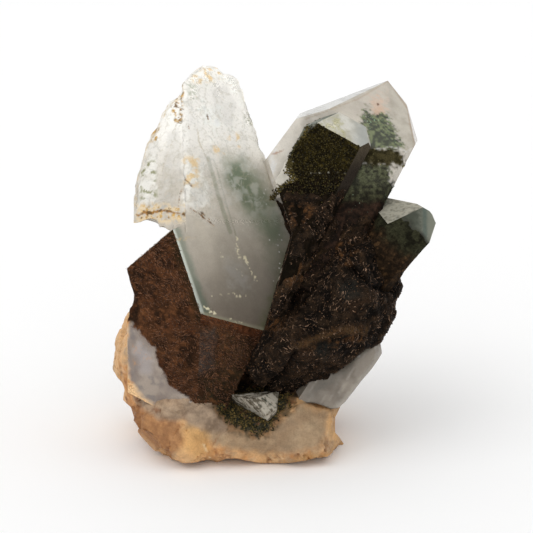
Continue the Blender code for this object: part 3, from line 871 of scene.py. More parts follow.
def paint_broad(label, n, p):
    x, y = outline_xy(p)
    count = len(p)
    f1, f2, f3 = fbm(p, 2.2, 3), fbm(p, 0.7, 5), noise(p, 0.3, 6)
    clear = 0.05 + 0.37 * smooth(y, 80, 320) + 0.04 * f1
    colour = mix(mix(CLEAR_TIP, HAZY_MIDDLE, smooth(y, 120, 200)), DARK_FOOT, smooth(y, 180, 370))
    colour = np.clip(colour * (1 + 0.11 * fbm(p, 3.5, 4) + 0.066 * f2)[:, None], 0.03, 0.97)
    rough = np.full(count, 0.24)
    lift = 0.03 * noise(p, 1.5, 2)
    coat_faces = ("side0", "foot0", "foot60", "foot120", "foot300", "break0") + (("side300",) if x.min() < 140 and y.max() > 300 else ())
    if label in coat_faces:
        axis = long_axis(CRYSTALS["broad"])
        streak = fbm(p - np.outer(p @ axis, axis) * 0.55, 0.5, 9)
        base = mix(BROWN, DARK_BROWN, smooth(f1, -0.25, 0.4))
        base = mix(base, BLACK_BROWN, smooth(fbm(p, 1.2, 12), 0.15, 0.55) * 0.6)
        if label == "foot60":
            base = mix(lin(82, 66, 52), DARK_BROWN, smooth(f1, -0.2, 0.5))
            # painted light: a reddish-brown glow beside the lower edge, standing in for light refracted through the
            # crystal's edge
            glow = smooth(15 - along([(201, 314), (263, 330)], x, y), 0, 13)
            base = mix(base, lin(124, 76, 54), glow * 0.55)
            low = smooth(y + 6 * f1, 350, 392)
            base = mix(base, BLACK_GREEN, low * 0.7)
        run = np.array((0.86, 0.0, -0.51))
        fine_streak = fbm(p - np.outer(p @ run, run) * 0.78, 0.34, 10, 3)
        base = mix(base, lin(136, 94, 66), smooth(fine_streak, 0.12, 0.45) * 0.42)
        base = mix(base, lin(34, 25, 18), smooth(-fine_streak, 0.12, 0.45) * 0.4)
        base = mix(base, lin(122, 84, 62), smooth(streak, 0.16, 0.5) * 0.35)
        base = mix(base, lin(100, 62, 44), smooth(fbm(p, 1.6, 119), 0.1, 0.5) * 0.3)
        base = mix(base, lin(38, 28, 20), smooth(fbm(p, 2.8, 124), 0.05, 0.4) * 0.5)
        rim = smooth(11 - along([(172, 230), (201, 314)], x, y) + 3 * f2, 0, 10) * (label != "foot60")
        base = mix(base, lin(46, 42, 28), rim * 0.75)
        cover = np.ones(count)
        bare = within(BARE, x, y) + 4 * f1 + 3 * f2
        if label in ("foot300", "break0", "foot0", "side300"):
            cover = 1 - smooth(bare, -1.0, 1.6)
            quartz = mix(lin(150, 136, 126), lin(178, 164, 150), smooth(f1, -0.3, 0.4))
            quartz = mix(quartz, lin(128, 120, 118), smooth(fbm(p, 1.6, 14), 0.1, 0.5) * 0.7)
            flecks = zones(x, y, f2, [(134, 345), (150, 345), (150, 364), (134, 364)]) * smooth(fbm(p, 0.6, 21), 0.1, 0.3)
            quartz = mix(quartz, ORANGE, flecks)
            warm = smooth(within([(100, 250), (128, 296), (131, 312), (127, 345), (130, 378), (140, 394), (152, 404), (172, 414),
                                  (204, 424), (204, 450), (90, 450)], x, y) + 3 * f1 + 2 * f2, -2.5, 3)
            rocky = mix(lin(220, 184, 140), lin(200, 146, 92), smooth(fbm(p, 1.8, 121) + 0.4 * f2, -0.05, 0.4))
            quartz = mix(quartz, rocky, warm)
            pearl = zones(x, y, 3 * f1, [(140, 340), (150, 352), (152, 372), (140, 372), (132, 352)], soft=5.0)
            quartz = mix(quartz, lin(178, 172, 172), pearl * 0.6)
            base = mix(quartz, base * COAT_WARM, cover)
        else:
            base = base * COAT_WARM
        blue = within([(196, 330), (217, 328), (214, 368), (198, 376)], x, y) + 4 * f2
        if label == "foot60":
            base = mix(base, lin(78, 72, 70), smooth(blue, -3, 5) * 0.45)
        colour = base
        clear = 0.30 * (1 - cover)
        if label in ("foot300", "break0", "foot0", "side300"):
            clear = clear * (1 - 0.95 * warm)
        rough = lerp(0.18, 0.6, cover)
        lift = cover * (0.10 * f2 + 0.08 * f3 - 0.05) + (1 - cover) * 0.12 * f1
        return colour, clear, rough, lift

    # everything else is clear to hazy quartz
    low_front = smooth(within([(171, 227), (191, 208), (214, 225), (238, 236), (300, 232), (264, 332), (200, 316)], x, y), -2, 6)
    rough = rough - 0.09 * low_front
    colour = mix(colour, colour * np.array([1.0, 0.99, 0.97]), low_front)
    green = zones(x, y, 2 * f1, [(225, 158), (240, 157), (256, 170), (268, 188), (284, 214), (288, 242), (272, 244), (256, 224),
                                 (240, 205), (228, 184)], soft=9.0)
    core = zones(x, y, 2 * f1, [(229, 164), (242, 165), (252, 186), (257, 206), (244, 201), (232, 184)], soft=6.0)
    colour = mix(colour, lin(76, 94, 68), core * 0.62)
    green = np.maximum(green, 0.5 * zones(x, y, 3 * f1, [(262, 215), (290, 228), (284, 262), (272, 268), (258, 240)], soft=9.0))
    colour = mix(colour, lin(106, 122, 96), green * 0.8)
    margin = smooth(9 - along([(290, 240), (279, 285), (264, 327)], x, y) + 5 * f2, -2, 11) * smooth(y, 232, 262)
    colour = mix(colour, lin(98, 102, 72), margin * 0.75)
    clear = clear * (1 - 0.45 * margin) * (1 - 0.3 * green)
    bands = lines(x, y, f2, ([(208, 158), (219, 196), (231, 232)], 2.4, 0.6), ([(214, 160), (226, 200), (238, 240)], 0.9, 0.4))
    colour = mix(colour, lin(132, 138, 112), bands * 0.55)
    cracks = lines(x, y, f2, ([(246, 224), (238, 240), (234, 256)], 0.4, 0.5), ([(240, 232), (244, 252)], 0.1, 0.6),
                   ([(222, 226), (236, 244)], 0.1, 0.4), ([(196, 292), (226, 296)], 0.1, 0.6), ([(200, 240), (212, 262)], 0.1, 0.5))
    colour = mix(colour, lin(226, 220, 204), cracks * 0.6)
    if label == "side60":
        # edge is a painted highlight: a bright strip along the edge for light refracted through it; shade beside it is
        # painted shade
        edge = smooth(4.2 - along([(172, 230), (201, 314)], x, y), 0, 2)
        shade = smooth(10 - along([(174, 232), (203, 314)], x, y) + 2 * f2, 0, 6) * (1 - edge)
        colour = mix(colour, lin(220, 228, 216), edge * 0.9)
        colour = mix(colour, lin(96, 120, 100), shade * 0.6)
        g = 3.0 * f3 + 1.5 * f2
        cream = lines(x, y, g, ([(243, 256), (248, 265), (252, 272), (257, 280)], 0.9, 0.8), ([(237, 269), (246, 278)], 0.1, 0.9),
                      ([(233, 293), (240, 297), (246, 296)], 0.5, 0.8), ([(212, 296), (232, 293)], 0.1, 0.4),
                      ([(238, 236), (237, 248), (240, 258)], 0.1, 0.8), ([(221, 252), (223, 262)], 0.1, 0.9),
                      ([(205, 307), (210, 311), (215, 314)], 0.7, 0.8), ([(228, 316), (236, 322), (244, 322)], 0.1, 0.9))
        colour = mix(colour, lin(236, 226, 192), cream * 0.9)
        clear = clear * (1 - 0.8 * cream)
        haze = zones(x, y, 4 * f2, [(228, 262), (246, 268), (250, 290), (232, 286)], soft=7.0)
        colour = mix(colour, lin(196, 194, 188), haze * 0.4)
        bottom = smooth(4 - along([(201, 314), (263, 330)], x, y), 0, 3)
        colour = mix(colour, lin(150, 146, 122), bottom * 0.7)
        clear = clear * (1 - 0.5 * bottom)
        # painted glints: small white spots standing in for light caught by tiny facets
        painted_glints = smooth(cells(p, 0.55, 60)[0], 0.16, 0.08) * zones(
            x, y, f2, [(262, 188), (280, 188), (276, 205), (262, 205)], [(262, 226), (286, 226), (284, 252), (264, 252)],
            [(270, 262), (286, 262), (280, 280), (268, 280)], [(240, 112), (256, 110), (256, 128), (242, 126)], soft=2.0)
        colour = mix(colour, lin(252, 252, 250), painted_glints)
        clear = clear * (1 - 0.9 * painted_glints)
    upper = smooth(236 - y, 0, 40)
    colour = mix(colour, lin(238, 236, 230), upper * 0.35 * smooth(fbm(p, 1.4, 16), -0.1, 0.35))
    panel = zones(x, y, f2, [(166, 132), (178, 128), (181, 160), (179, 206), (161, 212), (158, 190), (164, 160)],
                  [(212, 90), (226, 84), (236, 104), (232, 126), (216, 122)], soft=2.0)
    colour = colour * (1 - 0.13 * panel[:, None])
    white = zones(x, y, 2 * f2, [(182, 156), (203, 164), (213, 204), (197, 210), (184, 204)], [(190, 70), (214, 68), (222, 80), (206, 92), (188, 92)],
                  [(140, 168), (156, 150), (158, 190), (152, 206), (136, 206)], [(232, 76), (240, 80), (252, 106), (244, 110)], soft=2.0)
    colour = mix(colour, lin(250, 248, 240), white * (0.45 + 0.4 * smooth(fbm(p, 0.9, 120), -0.2, 0.3)))
    streaky = smooth(np.abs(fbm(p, 1.3, 122)), 0.10, 0.02) * smooth(232 - y, 0, 20)
    colour = mix(colour, lin(176, 170, 148), streaky * 0.35)
    veins = lines(x, y, f2, ([(183, 95), (176, 125), (173, 140), (163, 165), (158, 186)], 0.5, 0.6),
                  ([(197, 126), (199, 142), (205, 155), (209, 162)], 0.7, 0.6), ([(186, 84), (196, 96), (204, 112), (209, 124)], 0.4, 0.6),
                  ([(176, 140), (186, 152), (190, 168)], 0.2, 0.8), ([(214, 78), (219, 96), (228, 104)], 0.2, 0.8))
    colour = mix(colour, lin(186, 170, 138), veins * 0.75)
    facets = np.abs(fbm(p, 3.0, 117)) < 0.022
    colour = mix(colour, lin(200, 200, 192), facets * smooth(222 - y, 0, 20) * 0.5)
    a, b, ident = cells(p, 4.2, 118)
    colour = colour * (1 + 0.10 * (ident[:, None] - 0.5) * smooth(236 - y, 0, 30)[:, None])
    rimline = smooth(2.2 + 1.8 * f2 - np.abs(within(BROAD_OUTLINE[:12] + [(260, 232), (170, 240)] + BROAD_OUTLINE[-18:], x, y)), 0, 1.2)
    colour = mix(colour, lin(214, 190, 146), rimline * smooth(f1 + f3, -0.2, 0.3) * smooth(200 - x, 0, 20) * 0.7)
    colour = mix(colour, lin(150, 160, 130), zones(x, y, f2, [(186, 82), (196, 84), (198, 100), (190, 104)]) * smooth(f3, -0.1, 0.4) * 0.5)
    chips = zones(x, y, f2, [(243, 113), (252, 112), (256, 124), (246, 126)], [(256, 136), (262, 136), (264, 150), (258, 150)])
    colour = mix(colour, lin(132, 134, 100), chips * smooth(fbm(p, 0.3, 126), 0.0, 0.3) * 0.75)
    clear = clear * (1 - chips)
    moss = zones(x, y, f2, [(138, 163), (155, 160), (157, 196), (140, 200)]) * smooth(fbm(p, 0.6, 18), 0.05, 0.3)
    colour = mix(colour, lin(118, 120, 66), moss * 0.85)
    pale = zones(x, y, f2, [(183, 158), (198, 156), (200, 186), (184, 188)], [(228, 134), (241, 134), (240, 147), (228, 146)],
                 [(213, 144), (224, 144), (224, 154), (213, 154)], [(196, 66), (222, 66), (222, 80), (192, 84)]) \
        * smooth(fbm(p, 0.8, 19), -0.1, 0.3)
    colour = mix(colour, lin(228, 196, 138), pale * 0.8)
    rust = lines(x, y, f2, ([(138, 215), (147, 212), (152, 213), (160, 210), (170, 212), (183, 214)], 1.9, 2.4), ([(140, 218), (150, 216), (158, 217)], 0.2, 2.0),
                 ([(168, 206), (170, 214), (176, 217)], 0.3, 1.6), ([(162, 202), (170, 201)], 0.1, 1.0),
                 ([(191, 208), (202, 215), (214, 225)], 1.0, 1.4), ([(202, 212), (210, 219)], 0.9, 1.2),
                 ([(181, 188), (179, 198), (178, 207)], 0.7, 0.6),
                 ([(207, 114), (208, 120)], 1.0, 1.4), ([(188, 124), (189, 129)], 0.9, 1.2), ([(137, 160), (135, 190)], 0.2, 0.9),
                 ([(152, 133), (160, 128)], 0.3, 0.9), ([(186, 178), (192, 186)], 0.8, 1.4), ([(172, 206), (178, 196)], 0.2, 1.2))
    specks = zones(x, y, f2, [(174, 92), (184, 92), (184, 108), (181, 124), (174, 122), (172, 106)],
                   [(150, 126), (158, 124), (160, 142), (151, 142)], [(141, 204), (184, 207), (184, 219), (141, 221)], soft=1.5) \
        * smooth(noise(p, 0.42, 123) + 0.5 * f2, 0.02, 0.2)
    colour = mix(colour, mix(lin(196, 152, 66), lin(110, 78, 30), smooth(f3, -0.15, 0.25)), specks * 0.9)
    ground = zones(x, y, f2, [(134, 204), (184, 204), (184, 222), (134, 224)])
    ground = ground * smooth(f2 + 0.6 * f3, -0.35, 0.25)
    colour = mix(colour, lin(228, 204, 162), ground * 0.75)
    colour = mix(colour, mix(lin(150, 104, 42), lin(86, 60, 26), smooth(f3 + f2, -0.2, 0.35)), rust * 0.92)
    rough = rough + 0.12 * smooth(230 - y, 0, 30)
    opaque = np.clip(0.9 * rust + 0.9 * specks + 0.6 * pale + 0.5 * moss + 0.5 * ground, 0, 1)
    clear = clear * (1 - opaque)
    rough = rough + 0.3 * opaque
    if label.startswith(("topbreak", "break")):
        lift = lift - 0.30 * np.abs(fbm(p, 2.4, 8)) + 0.12 * f2 + 0.05 * f3
        rough = rough + 0.05
    low = smooth(25 - p[:, 2] + 5 * f1, 0, 6) if (n @ NEAR < 0.1) else np.zeros(count)
    colour = mix(colour, mix(BROWN, DARK_BROWN, smooth(f2, -0.2, 0.4)), low)
    clear = clear * (1 - low)
    rough = lerp(rough, 0.6, low)
    lift = lift + low * 0.12 * f2
    return colour, clear, rough, lift


def chip_edges(skin, where, depth, reach, seed):
    """Rounds and chips the edges of a skin inside a zone."""
    from mathutils.kdtree import KDTree
    rim = np.flatnonzero(skin.rim)
    rim = rim[where(skin.p[rim])]
    tree = KDTree(len(rim))
    for i in rim:
        tree.insert(skin.p[i], int(i))
    tree.balance()
    out = np.zeros(len(skin.p))
    near = np.flatnonzero(where(skin.p))
    d = np.array([tree.find(skin.p[i])[2] for i in near])
    wave = 0.55 + 0.9 * np.clip(fbm(skin.p[near], 1.6, seed, 3) + 0.1, -0.5, 0.8)
    out[near] = -depth * wave * (1 - smooth(d, 0, reach)) ** 1.5
    return out


broad = coarse_solid("broad")
combine(broad, "UNION", [coarse_solid("broad_top")])
broad_planes = crystal_planes(CRYSTALS["broad"]) + crystal_planes(CRYSTALS["broad_top"])
broad_skin = Skin(broad, STEP, broad_planes, fine_front)


def broken_zone(p):
    x, y = outline_xy(p)
    return y < 222


broad_ob = skin_object("broad_crystal", broad_skin, paint_broad, CRYSTAL_CLEAR, 32.0, COAT)
chip = chip_edges(broad_skin, broken_zone, 0.75, 1.5, 61)
chip = chip * smooth(222 - outline_xy(broad_skin.p)[1], 0, 22)
moved = broad_skin.moved + broad_skin.n * chip[:, None]
step_height = broad_skin.p @ LOW_SIDE[0] - LOW_SIDE[1]
bx, by = outline_xy(broad_skin.p)
level = step_height * smooth(by, 170, 212) * (step_height > -0.02) * (step_height < 1.2)
moved = moved - LOW_SIDE[0] * level[:, None]
moved = pull_inside(moved, BROAD_OUTLINE, 0.9, 62) * MM
broad_ob.data.vertices.foreach_set("co", moved.ravel())
levelled = bmesh.new()
levelled.from_mesh(broad_ob.data)
bmesh.ops.dissolve_degenerate(levelled, dist=0.00004, edges=levelled.edges[:])
levelled.to_mesh(broad_ob.data)
levelled.free()
broad_ob.data.update()
ready(broad_ob, "crystal_cluster")


# --- the tall right crystal, clear with moss
def paint_right(label, n, p):
    x, y = outline_xy(p)
    count = len(p)
    f1, f2 = fbm(p, 2.0, 13), fbm(p, 0.6, 15)
    colour = mix(lin(228, 221, 209), lin(212, 204, 190), smooth(f1, -0.3, 0.5))
    if label == "tip0":
        colour = colour * np.array([0.82, 0.81, 0.775])
    clear = np.full(count, 0.36) + 0.1 * f1
    rough = np.full(count, 0.14)
    lift = 0.03 * f1
    if label == "tip0":
        clear = clear - 0.08
        stain = zones(x, y, 4 * f2, [(370, 98), (384, 96), (385, 112), (373, 116)], soft=5.5)
        colour = mix(colour, lin(204, 150, 104), stain * 0.85)
        haze = zones(x, y, 6 * f2, [(345, 108), (372, 92), (386, 86), (392, 110), (372, 112), (352, 118)], soft=8.0)
        colour = mix(colour, lin(206, 196, 184), haze * 0.6)
        spot = smooth(1.8 + f2 - np.hypot(x - 378, y - 104), 0, 1)
        colour = mix(colour, lin(90, 60, 40), spot)
        clear = clear * (1 - 0.6 * stain) * (1 - spot)
    if label in ("tip300", "break0", "break1"):
        colour = mix(WHITE, lin(200, 199, 194), smooth(fbm(p, 1.2, 14), 0.0, 0.5))
        clear = clear - 0.16
    if label == "break2" or label == "tip60":
        colour = mix(colour, lin(196, 182, 164), 0.5)
    streaks = smooth(fbm(p - np.outer(p @ long_axis(CRYSTALS["right"]), long_axis(CRYSTALS["right"])) * 0.8, 0.7, 17), 0.1, 0.5)
    left = zones(x, y, f2, [(268, 120), (300, 112), (303, 135), (288, 160), (284, 188), (268, 185)])
    colour = mix(colour, lin(232, 231, 228), left * streaks * 0.8)
    clear = clear - 0.2 * left
    front_on = smooth(np.full(count, n @ NEAR), 0.0, 0.1)
    g1 = zones(x, y, 1.6 * f2 + 1.5 * noise(p, 0.4, 18), M1, soft=2.6) * front_on
    g3 = zones(x, y, 1.2 * f2 + 1.2 * noise(p, 0.4, 19), M3, soft=2.2) * front_on
    tuft = smooth(noise(p, 0.45, 20) + 0.7 * f2, -0.4, 0.5)
    colour = mix(colour, mix(lin(40, 50, 24), lin(118, 128, 86), tuft), g1 * 0.96)
    colour = mix(colour, mix(lin(30, 32, 18), lin(76, 80, 56), tuft), g3 * 0.97)
    deep = smooth(y + 5 * f2, 176, 200)
    colour = mix(colour, mix(lin(24, 22, 13), lin(52, 50, 34), tuft), g3 * deep * 0.8)
    clear = clear * (1 - 0.97 * g3) * (1 - 0.35 * g1)
    # painted highlight: a thin white strip along the edge, lit white
    painted_lit_strip = smooth(0.9 - along([(369, 150), (391, 147), (403, 150), (407, 152)], x, y) + 0.4 * f2, 0, 0.8)
    rims = smooth(1.5 - along([(388, 81), (392, 85), (401, 99), (408, 109), (411, 128), (415, 145), (411, 155), (406, 166),
                               (400, 178), (391, 195)], x, y) + 0.6 * f2, 0, 1.2)
    rims = np.maximum(rims, 0.8 * smooth(1.0 - along([(388, 81), (358, 99), (335, 108), (306, 119)], x, y) + 0.5 * f2, 0, 0.9))
    colour = mix(colour, lin(176, 156, 134), rims * front_on * 0.7)
    colour = mix(colour, lin(226, 224, 216), painted_lit_strip * front_on * 0.8)
    rust = lines(x, y, f2, ([(273, 154), (279, 152), (284, 150)], 1.3, 1.4), ([(300, 118), (312, 112)], 0.2, 1.0),
                 ([(314, 124), (328, 118)], 0.1, 1.0), ([(350, 112), (364, 116)], 0.1, 0.9), ([(401, 99), (414, 140)], 0.3, 0.9))
    colour = mix(colour, mix(RUST, RED_BROWN, 0.4), rust * 0.7)
    clear = clear * (1 - 0.7 * rust)
    if n @ NEAR > 0.0:
        low = smooth(y + 5 * f1 + 3 * f2, 196, 204)
        band = zones(x, y, 1.2 * f2 + 1.0 * noise(p, 0.4, 22), M2, soft=2.0)
        colour = mix(colour, mix(lin(66, 60, 38), lin(40, 36, 20), smooth(f2, -0.3, 0.3)), band)
        clear = clear * (1 - 0.97 * band)
    else:
        low = smooth(40 - p[:, 2] + 4 * f1, 0, 4)
    colour = mix(colour, mix(DARK_BROWN, BLACK_BROWN, smooth(f2, -0.3, 0.3)), low)
    clear = clear * (1 - low)
    rough = lerp(rough, 0.6, low)
    lift = lift + low * (0.12 * f2 + 0.08 * noise(p, 0.3, 3))
    return colour, clear, rough, lift


right = coarse_solid("right")
combine(right, "DIFFERENCE", [before(["broad", "broad_top"])])
right_skin = Skin(right, STEP, crystal_planes(CRYSTALS["right"]), lambda c, n: 0.7 if n @ NEAR > 0.1 else 1.5)
ready(skin_object("right_crystal", right_skin, paint_right, CRYSTAL_CLEAR, 25.0, COAT), "crystal_cluster")


# --- the dark crystal in front of it
def paint_front(label, n, p):
    x, y = outline_xy(p)
    f1, f2, f3 = fbm(p, 2.0, 23), fbm(p, 0.6, 25), noise(p, 0.25, 27)
    dark = mix(lin(38, 32, 11), lin(18, 14, 4), smooth(f2, -0.3, 0.3))
    dark = mix(dark, lin(92, 80, 38), smooth(fbm(p, 0.4, 29), 0.2, 0.5) * 0.5)
    dark = mix(dark, mix(lin(13, 9, 4), lin(25, 18, 10), smooth(f2, -0.2, 0.4)), smooth(y + 4 * f1, 158, 186))
    speck = lines(x, y, f3, ([(310, 173), (345, 173)], 0.2, 1.0))
    dark = mix(dark, lin(190, 186, 170), speck * 0.7)
    cover = np.ones(len(p))
    colour = dark
    if label in ("tip0", "tip60", "tip300"):
        colour = mix(lin(226, 223, 212), lin(192, 188, 174), smooth(f1, -0.2, 0.5))
        cover = 0.80 + 0.1 * f1
        if label == "tip0":
            colour = mix(colour, lin(158, 162, 158), smooth(x + 4 * f2, 346, 364) * 0.75)
            fuzz = smooth(4 + 3 * f2 - along([(316, 124), (360, 149)], x, y), 0, 2.5)
            colour = mix(colour, lin(196, 190, 160), fuzz * 0.4)
            fine = smooth(noise(p, 0.3, 28) + 0.5 * f2, -0.3, 0.25)
            downy = zones(x, y, 3 * f2, [(316, 122), (334, 115), (343, 122), (341, 133), (330, 133)], [(336, 128), (346, 132), (350, 142), (342, 138)], soft=4.0)
            colour = mix(colour, mix(lin(122, 116, 72), lin(172, 168, 128), fine), downy * (0.35 + 0.45 * fine))
            cover = np.maximum(cover, downy)
        if label == "tip300":
            colour = mix(lin(100, 108, 96), lin(140, 144, 132), smooth(f2, -0.3, 0.3))
    elif label == "side60":
        colour = mix(lin(74, 66, 54), lin(46, 40, 34), smooth(y + 6 * f1, 148, 176))
        colour = mix(colour, dark, smooth(y + 8 * f1, 184, 198))
    elif label in ("side300", "side240"):
        colour = mix(dark, lin(78, 84, 56), 0.35)
    dull = label in ("side0", "side300", "side240")
    if label in ("side0", "side300"):
        edge_x = np.interp(y, [122, 128, 135, 147, 158, 170, 180, 185, 200], [300, 305, 303, 290, 288, 289, 294, 282, 270])
        open_left = smooth(edge_x - x + 7 * f2 + 4 * f3, -0.6, 0.8)
        pale = mix(lin(228, 222, 208), lin(206, 200, 186), smooth(f1, -0.2, 0.4))
        small = smooth(within([(296, 136), (309, 121), (319, 121), (301, 138)], x, y) + 0.5 * f3, -0.5, 0.8)
        pale = mix(pale, lin(104, 106, 88), small)
        open_left = np.maximum(open_left, small)
        colour = mix(colour, pale, open_left)
        cover = cover * (1 - 0.35 * open_left)
    lift = (0.09 * f2 + 0.07 * f3) if dull else 0.02 * f2
    return colour, 1 - cover, 0.2 + 0.3 * cover, lift


front = coarse_solid("front")
combine(front, "DIFFERENCE", [before(["broad", "broad_top"])])
front_skin = Skin(front, STEP, crystal_planes(CRYSTALS["front"]), lambda c, n: 0.7 if n @ NEAR > 0.1 else 1.6)
ready(skin_object("front_crystal", front_skin, paint_front, CRYSTAL_CLEAR, 30.0, COAT), "crystal_cluster")


# --- the leaning crystal with a pale end
def paint_leaning(label, n, p):
    x, y = outline_xy(p)
    f1, f2, f3 = fbm(p, 1.6, 33), fbm(p, 0.5, 35), noise(p, 0.22, 37)
    axis = long_axis(CRYSTALS["leaning"])
    ref = np.array(CRYSTALS["leaning"]["ref"]) + SHIFT
    up = (p - ref) @ axis
    dark = mix(lin(26, 19, 12), lin(46, 34, 22), smooth(f2, -0.3, 0.3))
    dark = mix(dark, lin(94, 70, 46), smooth(fbm(p, 0.45, 38), 0.2, 0.5) * 0.5)
    green = mix(lin(46, 46, 32), lin(22, 21, 13), smooth(fbm(p, 1.1, 36) + 0.5 * f3, -0.3, 0.4))
    pale = mix(lin(172, 168, 152), lin(112, 108, 94), smooth(fbm(p, 0.4, 39), -0.05, 0.45))
    if label == "tip300":
        colour, cover = pale, 0.9 + 0 * f1
        colour = mix(colour, lin(120, 124, 116), smooth(f3, 0.3, 0.6) * 0.5)
    elif label.startswith("break") or label in ("tip60",):
        stripe = smooth(3.4 - np.abs(x - 425) + f2, 0, 2)
        colour, cover = mix(lin(176, 178, 160), TEAL, stripe * 0.5), 0.6 + 0.2 * stripe
    else:
        colour = mix(dark, green, smooth(up + 1.0 * f1, -3.0, -0.4))
        end = smooth(up + 0.6 * f1, 1.8, 3.0)
        stripe = smooth(3.0 - np.abs(x - 425) + f2, 0, 2)
        tone = mix(lin(70, 76, 58), lin(146, 149, 132), smooth(x + 4 * f2 + 3 * f3, 414, 430))
        colour = mix(colour, mix(tone, TEAL, stripe * 0.6), end)
        cover = 1 - 0.5 * end
    return colour, 1 - cover, 0.2 + 0.3 * cover, 0.07 * f2 * (cover > 0.95)


leaning_skin = Skin(coarse_solid("leaning"), STEP * 0.75, crystal_planes(CRYSTALS["leaning"]), far_side)
leaning_ob = skin_object("leaning_crystal", leaning_skin, paint_leaning, CRYSTAL_CLEAR, 30.0, COAT)
up = (leaning_skin.p - np.array(CRYSTALS["leaning"]["ref"]) - SHIFT) @ long_axis(CRYSTALS["leaning"])
nearer = 2.4 / EYE_DISTANCE * smooth(up, -12.0, -3.0)
moved = EYE + (leaning_skin.moved - EYE) * (1 - nearer)[:, None]
LEANING_OUTLINE = [(340, 150), (371, 198), (378, 196), (392, 199), (404, 201), (415, 203), (421, 204), (428, 209), (434, 217),
                   (437, 224), (437, 231), (435, 237), (430, 242), (420, 253), (412, 262), (404, 272), (398, 283), (398, 420), (250, 420), (250, 150)]
moved = pull_inside(moved, LEANING_OUTLINE, 0.8, 34)
leaning_ob.data.vertices.foreach_set("co", (moved * MM).ravel())
leaning_ob.data.update()
ready(leaning_ob, "crystal_cluster")


# --- the dark granular mass on the large coated crystal and its neighbours' feet
def voxel_union(objects, voxel, rounds):
    """Points, normals and triangles of the union, softened over some rounds."""
    bm = bmesh.new()
    for ob in objects:
        bm.from_mesh(ob.data)
        bpy.data.objects.remove(ob, do_unlink=True)
    mesh = bpy.data.meshes.new("union")
    bm.to_mesh(mesh)
    bm.free()
    ob = bpy.data.objects.new("union", mesh)
    bpy.context.scene.collection.objects.link(ob)
    mod = ob.modifiers.new("remesh", "REMESH")
    mod.mode = "VOXEL"
    mod.voxel_size = voxel
    bpy.context.view_layer.update()
    mesh = bpy.data.meshes.new_from_object(ob.evaluated_get(bpy.context.evaluated_depsgraph_get()))
    bpy.data.objects.remove(ob, do_unlink=True)
    bm = bmesh.new()
    bm.from_mesh(mesh)
    bmesh.ops.triangulate(bm, faces=bm.faces)
    bm.to_mesh(mesh)
    bm.free()
    p = np.empty(len(mesh.vertices) * 3)
    mesh.vertices.foreach_get("co", p)
    p = p.reshape(-1, 3)
    t = np.empty(len(mesh.polygons) * 3, np.int32)
    mesh.loops.foreach_get("vertex_index", t)
    t = t.reshape(-1, 3)
    for r in range(rounds):
        p = relax(p, t, 0.5)
    return p, normals_of(p, t), t


def relax(p, t, amount):
    """One round of smoothing over the triangles' edges."""
    total = np.zeros_like(p)
    count = np.zeros(len(p))
    for a, b in ((0, 1), (1, 2), (2, 0)):
        for i, j in ((a, b), (b, a)):
            for k in range(3):
                total[:, k] += np.bincount(t[:, i], p[t[:, j], k], len(p))
            count += np.bincount(t[:, i], minlength=len(p))
    return p + (total / np.maximum(count, 1)[:, None] - p) * amount


def normals_of(p, t):
    c = np.cross(p[t[:, 1]] - p[t[:, 0]], p[t[:, 2]] - p[t[:, 0]])
    n = np.zeros_like(p)
    for i in range(3):
        for k in range(3):
            n[:, k] += np.bincount(t[:, i], c[:, k], len(p))
    return n / np.maximum(np.linalg.norm(n, axis=1, keepdims=True), 1e-12)


coated = coarse_solid("coated")
feet = []
for key, top in (("front", 43.5), ("right", 39.0)):
    foot = coarse_solid(key)
    combine(foot, "INTERSECT", [box_object((-60, -60, -5), (60, 60, top))])
    feet.append(foot)
combine(coated, "UNION", feet)
combine(coated, "DIFFERENCE", [before(["broad", "broad_top"])])
mass_p, mass_n, mass_t = voxel_union([coated], 0.33, 5)


def mass_shape(p, n):
    f1, f2, f3 = fbm(p, 4.0, 43), fbm(p, 1.1, 45), noise(p, 0.35, 47)
    a, b, ident = cells(p, 1.1, 50)
    lift = 0.14 + 0.70 * f1 + 0.55 * f2 + 0.14 * f3 + 0.25 * (0.5 - a)
    return lift, f1, f2, f3, a, b, ident


lift, f1, f2, f3, a, b, ident = mass_shape(mass_p, mass_n)
mass_x, mass_y = outline_xy(mass_p)
ridge = smooth(7 - along([(296, 347), (318, 338), (340, 331), (364, 329)], mass_x, mass_y) + 3 * f2, 0, 7)
spine = smooth(5 - along([(350, 230), (321, 252), (287, 284), (272, 300)], mass_x, mass_y) + 2 * f2, 0, 5)
# crevices are cut into the shape here and darkened below as painted shade
crevice_and_shade = smooth(4 - along([(346, 190), (343, 216), (337, 240), (326, 247)], mass_x, mass_y) + 2 * f2, 0, 4)
crevice_and_shade = np.maximum(crevice_and_shade, smooth(4 - along([(296, 350), (284, 372), (262, 392)], mass_x, mass_y) + 2 * f2, 0, 4))
crevice_and_shade = np.maximum(crevice_and_shade, smooth(5 - along([(352, 268), (372, 286), (394, 290)], mass_x, mass_y) + 3 * f2, 0, 5))
lift = lift + 0.75 * ridge + 0.4 * spine - 0.9 * crevice_and_shade
near_broad = smooth(4.0 - along([(272, 158), (279, 187), (291, 233), (288, 245), (277, 285), (263, 330), (248, 375), (235, 383)],
                                mass_x, mass_y), 0, 4)
lift = lift * (1 - near_broad) - 0.1 * near_broad
near_tip = smooth(within([(364, 190), (392, 195), (394, 228), (378, 222), (368, 208)], mass_x, mass_y), -5, 1)
lift = lift * (1 - near_tip) - 0.5 * near_tip
dark = mix(lin(22, 16, 10), lin(42, 31, 21), smooth(f2, -0.1, 0.45))
